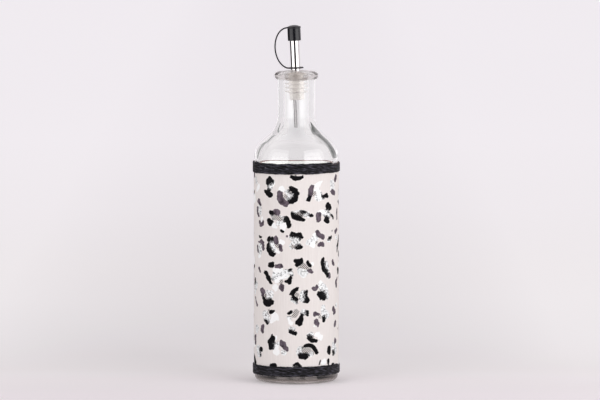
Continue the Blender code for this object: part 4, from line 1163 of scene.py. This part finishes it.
vent_plastic, vent_tree, vent_shader = new_material(
    "extruded clear polypropylene", Base_Color="#3E302A", IOR=1.49, Specular_IOR_Level=0.2
)
vent_place = add_node(vent_tree, "TexCoord").outputs["Object"]
vent_noise = add_node(vent_tree, "TexNoise", vent_place, Scale=1 / (VENT_CLOUD_MM * MM), Detail=1.0)
# Painted shade: the dark brown shows where the alpha rises towards the edges.
vent_edge = add_node(vent_tree, "LayerWeight", Blend=0.3).outputs["Facing"]
fill_inputs(
    vent_shader,
    Alpha=add_node(vent_tree, "MapRange", vent_edge, 0.0, 1.0, 0.04, 1.0),
    Roughness=add_node(vent_tree, "MapRange", vent_noise, 0.0, 1.0, 0.02, 0.1),
)
vent_line = [(VENT_RADIUS, VENT_LOW + VENT_ROUND), (VENT_RADIUS, VENT_HIGH - VENT_ROUND)]
vent_line += [(VENT_RADIUS - VENT_ROUND, VENT_HIGH), (VENT_INNER + VENT_ROUND, VENT_HIGH)]
vent_line += [(VENT_INNER, VENT_HIGH - VENT_ROUND), (VENT_INNER, VENT_LOW + VENT_ROUND)]
vent_line += [(VENT_INNER + VENT_ROUND, VENT_LOW), (VENT_RADIUS - VENT_ROUND, VENT_LOW)]
beside = leaning @ Matrix.Translation((-VENT_OFFSET, 0, 0))
vent = turned_piece("air_tube", vent_line, VENT_STEPS, vent_plastic, beside)
dress(vent, "clear_plastic", "pourer", "vent_tube")

# %% [markdown]
# Cap, strap and ring are one moulding in black thermoplastic rubber. It is satin: the mould was lightly textured, so
# highlights are soft and wide. A fine noise bump stands for that texture, and handling has left it a little uneven in
# gloss. It is nearly black, never quite, since the skin always scatters some light.

# %% Black moulded rubber
GRAIN_MM, HANDLED_MM = 0.3, 4.167

black_moulding, rubber_tree, rubber_shader = new_material("moulded thermoplastic rubber", Base_Color="#0B0B12", IOR=1.5)
rubber_place = add_node(rubber_tree, "TexCoord").outputs["Object"]
grain = add_node(rubber_tree, "TexNoise", rubber_place, Scale=1 / (GRAIN_MM * MM), Detail=2.0)
handled = add_node(rubber_tree, "TexNoise", rubber_place, Scale=1 / (HANDLED_MM * MM), Detail=1.0)
fill_inputs(
    rubber_shader,
    Roughness=add_node(rubber_tree, "MapRange", handled, 0.0, 1.0, 0.2, 0.3),
    Normal=add_node(rubber_tree, "Bump", Strength=0.2, Distance=0.03 * MM, Height=grain),
)
print("mould texture", GRAIN_MM, "mm wide")

# %% [markdown]
# The cap is a thimble with a low dome. A small bead runs round its top edge, where the strap springs from, and its
# mouth has a rounded edge that slips over the spout's lip.

# %% Dust cap
CAP_INNER = SPOUT_RADIUS + FLARE + GAP
CAP_OUTER = CAP_INNER + 0.9 * MM
CAP_BOTTOM = SPOUT_TIP - 9.2 * MM
CAP_CEILING = SPOUT_TIP + GAP
CAP_DOME, DOME_POINTS, DOME_SHARE = 1.4 * MM, 18, 0.97
CAP_SHOULDER = CAP_CEILING + 2.7 * MM - CAP_DOME
CAP_BEAD, BEAD_ROUND = 0.3 * MM, 0.25 * MM
BEAD_UNDERSIDE_MM = ((0.6, 0.3), (0.8, 0.22), (1.0, 0.04), (1.2, 0.0))
CAP_ROUND, CAP_INNER_BEVEL = 0.3 * MM, 0.15 * MM
CAP_STEPS = 128

beaded = CAP_OUTER + CAP_BEAD
dome_radius = (beaded**2 + CAP_DOME**2) / (2 * CAP_DOME)
dome_middle = CAP_SHOULDER + CAP_DOME - dome_radius
dome_rs = [beaded * DOME_SHARE * k / DOME_POINTS for k in range(DOME_POINTS + 1)]
cap_line = [(r, dome_middle + math.sqrt(dome_radius**2 - r**2)) for r in dome_rs]
cap_line += arc(beaded - BEAD_ROUND, CAP_SHOULDER - BEAD_ROUND, BEAD_ROUND, 50, 0, 5)
cap_line += [(CAP_OUTER + out_mm * MM, CAP_SHOULDER - down_mm * MM) for down_mm, out_mm in BEAD_UNDERSIDE_MM]
cap_line += arc(CAP_OUTER - CAP_ROUND, CAP_BOTTOM + CAP_ROUND, CAP_ROUND, 0, -90, 6)
cap_line += [(CAP_INNER + CAP_INNER_BEVEL, CAP_BOTTOM), (CAP_INNER, CAP_BOTTOM + CAP_INNER_BEVEL)]
cap_line += [(CAP_INNER, CAP_CEILING - CAP_ROUND), (CAP_INNER - CAP_ROUND, CAP_CEILING), (0, CAP_CEILING)]
cap = turned_piece("cap", cap_line, CAP_STEPS, black_moulding, leaning, closed=False)
dress(cap, "black_rubber", "cap", "dust_cap")

# %% [markdown]
# The ring turns freely round the foot of the spout, a little above the stopper, and keeps the cap from getting lost. It
# is a flat washer with well rounded outer edges, and a thin gap parts it from the steel.

# %% Ring round the spout
RING_BOTTOM, RING_HEIGHT = HEAD_TOP + 2.4 * MM, 1.2 * MM
RING_OUTER = SEAT_RADIUS + 2.25 * MM
RING_ROUND, RING_BEVEL = 0.5 * MM, 0.2 * MM

ring_top = RING_BOTTOM + RING_HEIGHT
ring_line = arc(RING_OUTER - RING_ROUND, ring_top - RING_ROUND, RING_ROUND, 90, 0, 10)
ring_line += arc(RING_OUTER - RING_ROUND, RING_BOTTOM + RING_ROUND, RING_ROUND, 0, -90, 10)
ring_line += [(SEAT_RADIUS + RING_BEVEL, RING_BOTTOM), (SEAT_RADIUS, RING_BOTTOM + RING_BEVEL)]
ring_line += [(SEAT_RADIUS, ring_top - RING_BEVEL), (SEAT_RADIUS + RING_BEVEL, ring_top)]
ring = turned_piece("ring", ring_line, CAP_STEPS, black_moulding, leaning)
dress(ring, "black_rubber", "tether", "tether_ring")

# %% [markdown]
# The strap bows out from the ring and in to the cap along a cubic curve, whose ends lie flat against both. It is a flat
# band with rounded edges, and its two ends reach a little way into the ring and the cap, so a rounded section is
# carried along the curve. When the cap is pulled off, the strap straightens.

# %% Strap
STRAP_WIDTH, STRAP_THICKNESS, STRAP_ROUND = 2.4 * MM, 1.1 * MM, 0.35 * MM
CORNER_TURNS = (0, 0.52, 1.05, 1.57)
STRAP_STEPS = 72
LEAVES, ARRIVES = (13.4 * MM, 22.5), (12.1 * MM, 7.5)
ROOT = 0.55 * MM

foot_across, foot_rise = polar(*LEAVES)
top_across, top_drop = polar(*ARRIVES)
strap_start = Vector((-RING_OUTER - GAP, 0, RING_BOTTOM + RING_HEIGHT / 2))
strap_end = Vector((-CAP_OUTER - CAP_BEAD - GAP, 0, CAP_SHOULDER - STRAP_THICKNESS / 2))
leave = strap_start + Vector((-foot_across, 0, foot_rise))
arrive = strap_end + Vector((-top_across, 0, -top_drop))
corner = [
    (STRAP_THICKNESS / 2 - STRAP_ROUND * (1 - math.cos(turn)), STRAP_WIDTH / 2 - STRAP_ROUND * (1 - math.sin(turn)))
    for turn in CORNER_TURNS
]
half_section = corner + [(-thick, wide) for thick, wide in corner[::-1]]
section = half_section + [(-thick, -wide) for thick, wide in half_section]
strap_data = bmesh.new()
strap_rings = []
for step in range(STRAP_STEPS + 1):
    t = step / STRAP_STEPS
    s = 1 - t
    middle = strap_start * s**3 + leave * (3 * s * s * t) + arrive * (3 * s * t * t) + strap_end * t**3
    ahead = (leave - strap_start) * (s * s) + (arrive - leave) * (2 * s * t) + (strap_end - arrive) * (t * t)
    if step in (0, STRAP_STEPS):
        ahead.z = 0
        middle.x += ROOT
    ahead.normalize()
    outward = Vector((ahead.z, 0, -ahead.x))
    strap_rings.append(
        [strap_data.verts.new(leaning @ (middle + outward * thick + Vector((0, wide, 0)))) for thick, wide in section]
    )
for here, there in zip(strap_rings, strap_rings[1:]):
    for k in range(len(section)):
        after = (k + 1) % len(section)
        strap_data.faces.new((here[k], here[after], there[after], there[k]))
strap_data.faces.new(strap_rings[0])
strap_data.faces.new(strap_rings[-1])
strap = finished_object("strap", strap_data, black_moulding, sharp_degrees=50.0)
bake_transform(strap)
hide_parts("cap_strap")
print("strap has", len(strap.data.polygons), "faces")

# %% Sizes
low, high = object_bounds()
grown = [round(((high - low)[k] - (cad_high - cad_low)[k]) / MM, 2) for k in range(3)]
print("dressed model is larger than the CAD by, in mm:", grown)
